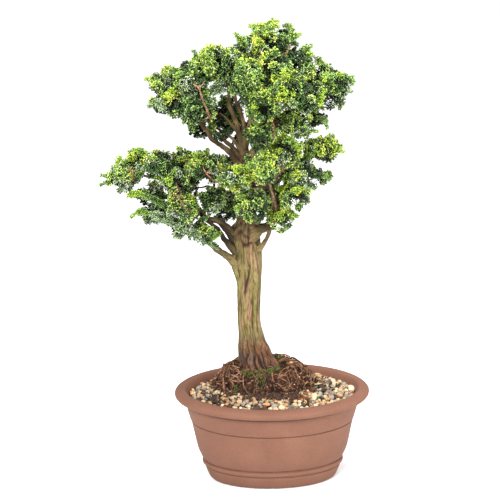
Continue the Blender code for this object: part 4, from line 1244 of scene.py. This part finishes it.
def fan_points(rng, scales):
    """Points of one cupped fan standing along Z, its flat face towards X; four a scale."""
    size = rng.uniform(0.85, 1.12)
    curl = rng.uniform(-0.07, 0.02)
    found = []
    for start, angle, length in scales:
        length = length * rng.uniform(0.85, 1.2)
        angle = math.radians(angle + rng.uniform(-8, 8))
        along = np.array([0, math.sin(angle), math.cos(angle)])
        across = np.array([0, math.cos(angle), -math.sin(angle)])
        root = along * start
        wide = root + along * length * 0.62 - (length * 0.2, 0, 0)
        half = across * length * rng.uniform(0.44, 0.56)
        tip = root + along * length + (length * rng.uniform(-0.15, 0.1), 0, 0)
        found += [root, tip, wide + half, wide - half]
    points = np.array(found) * size
    points[:, 0] += curl * (points[:, 1] ** 2 + points[:, 2] ** 2)
    return points


def surface_places(name, draws):
    """Places on a spray's solid: its corners and random ones, by area; and its middle."""
    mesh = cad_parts[name].data
    mesh.calc_loop_triangles()
    points = (np.array([v.co for v in mesh.vertices]) - MIDDLE) / MM
    triangles = np.array([t.vertices for t in mesh.loop_triangles])
    corners = points[triangles]
    area = np.linalg.norm(np.cross(corners[:, 1] - corners[:, 0], corners[:, 2] - corners[:, 0]), axis=1)
    chosen = draws.choice(len(triangles), SITE_DRAWS, p=area / area.sum())
    shares = np.sort(draws.random((SITE_DRAWS, 2)), axis=1)
    weights = np.stack([shares[:, 0], shares[:, 1] - shares[:, 0], 1 - shares[:, 1]], axis=1)
    found = np.einsum("nk,nkd->nd", weights, corners[chosen])
    return np.vstack([points, found]), (points.min(axis=0) + points.max(axis=0)) / 2


def spray_sites(name, rng):
    """Places and directions of a spray's outer and inner tufts, and its middle."""
    draws = np.random.default_rng(rng.randrange(1 << 30))
    found, middle = surface_places(name, draws)
    distance = np.linalg.norm(found - middle, axis=1)
    reach = distance.max()
    sites = []
    for index in np.argsort(-distance + draws.uniform(0, 5, len(found))):
        if distance[index] < SITE_LEAST * reach or len(sites) == SITES:
            break
        if near_spot(found[index], GAPS):
            continue
        outward = (found[index] - middle) / distance[index]
        place = found[index] - outward * min(SITE_PULL, distance[index] * 0.45)
        if all(np.linalg.norm(place - site[0]) > SITE_SPACING for site in sites):
            sites.append((place, outward, distance[index] / reach))
    inner = []
    for _ in range(INNER_SITES):
        outward = unit(draws.normal(size=3))
        place = middle + outward * reach * draws.uniform(0.08, SITE_LEAST)
        if not near_spot(place, GAPS):
            inner.append((place, outward))
    return sites, inner, middle


def near_spot(place, spots):
    """Whether a point, seen from the front, is in one of some round spots of the crown."""
    eye_x, eye_y, eye_z = CAMERA_PLACE
    share = eye_y / (eye_y - place[1])
    across = eye_x + (place[0] - eye_x) * share
    up = eye_z + (place[2] - eye_z) * share
    return any(math.hypot(across - x, up - z) < size for x, z, size in spots)


def leaf_palette(place, outward, out, blueness, rng):
    """The name of one tuft's colours, by where it stands in the crown, with painted light on tufts that
    face up and stand far out and painted shade on inner ones.
    """
    if place[1] < FRONT_DEPTH and rng.random() < 0.9:
        if near_spot(place, YOUNG_SPOTS) and outward[1] < 0.2:
            return "bright"
        if near_spot(place, PALE_SPOTS):
            return "blue"
    spot = Vector(place)
    patch = noise.noise(spot / 26 + Vector((31, 7, 2)))
    small = noise.noise(spot / 9 + Vector((3, 17, 5)))
    # painted light and shade: brighter facing up and far out, darker inwards, over random patches
    light = 0.8 * patch + 0.55 * small + 0.4 * outward[2] + 1.6 * (out - 0.86)
    light = light + rng.uniform(-0.2, 0.2)
    # painted light on the crown's lower right
    light = light + 0.25 * float(smooth_step(-40, 10, place[0]) * smooth_step(475, 445, place[2]))
    for name, least in LIGHT_LEVELS:
        if light > least:
            return name
    if light < SHADED_BELOW:
        return "shaded"
    cool = noise.noise(spot / 34 + Vector((5, 41, 9))) + blueness
    return "blue" if cool > BLUE_ABOVE else "mid"


def add_tuft(pile, points, place, outward, colours, rng, mixed=True):
    """Set one tuft in place, dark at its root and bright at its tips: painted shade in its heart, and
    paler new growth at its tips.
    """
    axis = Vector(outward) + Vector((0, 0, 0.35)) + Vector(jitter(rng, 0.3))
    turn = axis.to_track_quat("Z", "Y").to_matrix() @ Matrix.Rotation(any_angle(rng), 3, "Z")
    shape = points * rng.uniform(0.82, 1.16) @ np.array(turn).T + place
    # darker towards the tuft's heart: partly painted shade, partly paler new growth at the tips
    tone = smooth_step(0.32, 0.98, np.linalg.norm(points, axis=1) / TUFT_REACH)
    count = len(points) // 4
    # the bright palette is both new growth and painted light on tufts that face up and out
    bright_palette = colours == LEAF_PALETTES["bright"]
    scales = np.repeat([rng.choice(BRIGHT_TONES if bright_palette else SCALE_TONES) for _ in range(count)], 4)
    fans = [rng.choice(FAN_TONES) for _ in range(count // SCALES + 1)]
    other = [rng.random() < (0.1 if bright_palette else 0.25) for _ in fans]
    fans, other = (np.repeat(values, 4 * SCALES)[:len(points)] for values in (fans, other))
    tint = np.where(other[:, None] & mixed, shades(*LEAF_PALETTES["mid"], tone), shades(*colours, tone))
    pile.add(shape, tint * (scales * fans)[:, None], scale_faces(points))


def add_frond(pile, spine, width, colours, rng, layers=2):
    """A flat feathery frond: rows of overlapping scales to both sides of its stem, darker towards the
    stem, its foot and each scale's base as painted shade, and paler at its edges and tip like new growth.
    """
    path = curve_through(spine, 2.0)
    along = unit(np.gradient(path, axis=0))
    points = []
    tones = []
    for layer in range(layers):
        lean = np.array(FROND_FACING) + (0, 0, FROND_LEAN * (2 * layer - layers + 1))
        for number, (place, ahead) in enumerate(zip(path, along)):
            share = number / (len(path) - 1)
            reach = width / 2 * min(1, 0.45 + 1.8 * share) * (1.05 - share ** 2.5)
            normal = unit(lean + jitter(rng, 0.35))
            side = unit(np.cross(ahead, normal))
            steps = max(1, round(reach / FROND_PITCH))
            for out_way, step in itertools.product((-side, side), range(steps)):
                out = (step + rng.uniform(-0.3, 0.4)) * FROND_PITCH
                base = place + out_way * out * 0.8 + ahead * out * 0.5
                base = base - normal * (0.03 * out * out) + normal * rng.uniform(-0.8, 0.8)
                way = unit(out_way * 0.8 + ahead * 0.7 + normal * rng.uniform(-0.5, 0.5))
                length = rng.uniform(2.4, 3.4)
                across = unit(np.cross(way, normal)) * length * rng.uniform(0.42, 0.54)
                middle = base + way * length * 0.6 - normal * length * 0.2
                points += [base, base + way * length, middle + across, middle - across]
                # partly painted shade near the stem and foot, partly paler new growth at the edges and
                # tip
                tone = smooth_step(0, 1, 0.2 + 0.5 * (step + 1) / steps + 0.35 * share)
                tone = tone * rng.choice(FROND_TONES)
                # painted shade at each scale's base
                tones += [tone * 0.4] + [min(1, tone)] * 3
    pile.add(points, shades(*colours, tones), scale_faces(points))


def build_fronds(leaf):
    """Longer fronds that stand out of the crown's outline."""
    rng = random.Random(41)
    pile = Pile()
    for palette, width, spine in FRONDS:
        add_frond(pile, set_upright(spine), width, LEAF_PALETTES[palette], rng, layers=3)
    pile.make("foliage_fronds", leaf)


def build_front_twigs(pile):
    """Ruddy twigs that show in front of the foliage, with short stubs along them."""
    rng = random.Random(53)
    for low, high, radius, points in FRONT_TWIGS:
        path = curve_through(set_upright(points), 1.6) + (0, FRONT_TWIG_DEPTH, 0)
        shares = np.linspace(0, 1, len(path))
        path = path + np.array([jitter(rng, 0.5) for _ in path])
        sizes = radius * (1.15 - 0.6 * shares) * np.array([rng.uniform(0.8, 1.25) for _ in path])
        colours = shades(low, high, shares) * np.array([rng.uniform(0.6, 1.2) for _ in path])[:, None]
        add_tube(pile, path, sizes, 7, colours, rough=0.5)
        for place, colour in zip(path[2::3], colours[2::3]):
            way = unit([rng.uniform(-1, 1), -0.4, rng.uniform(-0.3, 1)]) * rng.uniform(1.6, 3.6)
            stub = [place, place + way * 0.6, place + way]
            add_tube(pile, stub, (0.6, 0.5, 0.3), 4, colour * 1.1)


def build_spray(name, kinds, cores, rng, leaf):
    """One spray of foliage in its solid's place; gives its tufts' places and its middle back."""
    sites, inner, middle = spray_sites(name, rng)
    blueness = BLUER_SPRAYS if "frond" in name or "far_left" in name else 0.0
    pile = Pile()
    for place, outward, out in sites:
        colours = LEAF_PALETTES[leaf_palette(place, outward, out, blueness, rng)]
        if outward[2] > -0.3 and rng.random() < FROND_SHARE:
            outer = place + outward * 7 + (rng.uniform(-3, 3), rng.uniform(-3, 3), -1)
            spine = [place - outward * 5, place + outward * 2 + (0, 0, 1), outer]
            add_frond(pile, spine, rng.uniform(8, 11), colours, rng)
        else:
            add_tuft(pile, rng.choice(kinds), place, outward, colours, rng)
    for place, outward in inner:
        # painted shade: inner tufts near black
        add_tuft(pile, rng.choice(cores), place, outward, CORE_SHADE_COLOURS, rng, mixed=False)
    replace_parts(pile.make(name.replace("spray_", "foliage_"), leaf), name)
    return [site[0] for site in sites], middle


def build_twigs(pile, places, middle, limbs, rng):
    """A twig from the nearest limb to a spray's middle, and twiglets to its tufts."""
    path, radii = min(limbs, key=lambda limb: np.linalg.norm(limb[0] - middle, axis=1).min())
    nearest = int(np.argmin(np.linalg.norm(path - middle, axis=1)))
    start = path[nearest]
    way = np.linalg.norm(middle - start)
    sag = np.array([rng.uniform(-0.1, 0.1), rng.uniform(-0.1, 0.1), -0.12]) * way
    bend = start + (middle - start) * 0.5 + sag
    route = curve_through([start, bend, middle, middle + (middle - bend) * 0.25], 3.5)
    sizes = np.linspace(min(radii[nearest] * 0.9, 1.7), 0.55, len(route))
    add_tube(pile, route, sizes, 6, linear(TWIG_BROWN), rough=0.15)
    late = route[len(route) // 3:]
    for place in places:
        away = np.linalg.norm(late - place, axis=1) + [rng.uniform(0, 6) for _ in late]
        root = late[np.argmin(away)]
        elbow = root + (place - root) * 0.5 + np.array([0, 0, -0.08]) * np.linalg.norm(place - root)
        add_tube(pile, [root, elbow, place], (0.6, 0.5, 0.4), 3, linear(TWIGLET_GREEN))


def build_tree(leaf, bark):
    """Foliage on its twigs, limbs and trunk."""
    rng = random.Random(11)
    wood = Pile()
    sections = build_trunk(wood)
    limbs = [build_limb(wood, name, sections) for name in LIMBS]
    kinds = tuft_kinds(rng, TUFT_TILTS, FAN_SCALES)
    cores = tuft_kinds(rng, CORE_TILTS, CORE_SCALES)
    for name in sorted(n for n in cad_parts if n.startswith("spray_")):
        places, middle = build_spray(name, kinds, cores, rng, leaf)
        build_twigs(wood, places, middle, limbs, rng)
    build_fronds(leaf)
    build_front_twigs(wood)
    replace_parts(wood.make("bark_and_branches", bark), "trunk_and_branches")


# Surroundings

def build_camera():
    """The camera at the photograph's viewing angle."""
    data = bpy.data.cameras.new("camera")
    data.lens = CAMERA_LENS
    data.sensor_width = SENSOR_WIDTH
    camera = add_object("camera", data)
    turn = Matrix.Identity(4)
    for angle, axis in CAMERA_TURNS:
        turn = turn @ Matrix.Rotation(math.radians(angle), 4, axis)
    camera.matrix_world = Matrix.Translation(Vector(CAMERA_PLACE) * MM + Vector(MIDDLE)) @ turn
    bpy.context.scene.camera = camera


def build_lights():
    """Soft studio light from all round, and a bright plain world."""
    for name, place, size, power in LIGHTS:
        data = bpy.data.lights.new(name, "AREA")
        data.energy = power
        data.size = size * MM
        light = add_object(name, data)
        light.location = Vector(place) * MM
        aim = Vector(LIGHT_AIM) * MM - light.location
        light.rotation_euler = aim.to_track_quat("-Z", "Y").to_euler()
    world = bpy.data.worlds.new("studio")
    world.use_nodes = True
    background = world.node_tree.nodes["Background"]
    background.inputs["Color"].default_value = (1, 1, 1, 1)
    background.inputs["Strength"].default_value = WORLD_STRENGTH
    bpy.context.scene.world = world
    bpy.context.scene.view_settings.view_transform = "Standard"


def build_floor():
    """A plain pale floor."""
    made, _, shader = new_material("floor", 0.9)
    shader.inputs["Base Color"].default_value = (FLOOR_SHADE, FLOOR_SHADE, FLOOR_SHADE, 1)
    under = (0, 0, POT_LOW.z - FLOOR_DROP * MM)
    bpy.ops.mesh.primitive_plane_add(size=2 * FLOOR_HALF * MM, location=under)
    floor = bpy.context.object
    floor.name = "floor"
    floor.data.materials.append(made)


build_camera()
build_lights()
build_floor()
clay, plastic, earth, stone, leaf, bark = (layered_material(name) for name in MATERIALS)
build_pot(clay)
build_mound(earth)
build_roots(earth)
build_chips(stone)
build_moss(leaf)
build_bed(earth)
build_gravel(stone)
build_tree(leaf, bark)
for node in ("drain_screen_left", "drain_screen_right"):
    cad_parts[node].data.materials.clear()
    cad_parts[node].data.materials.append(plastic)
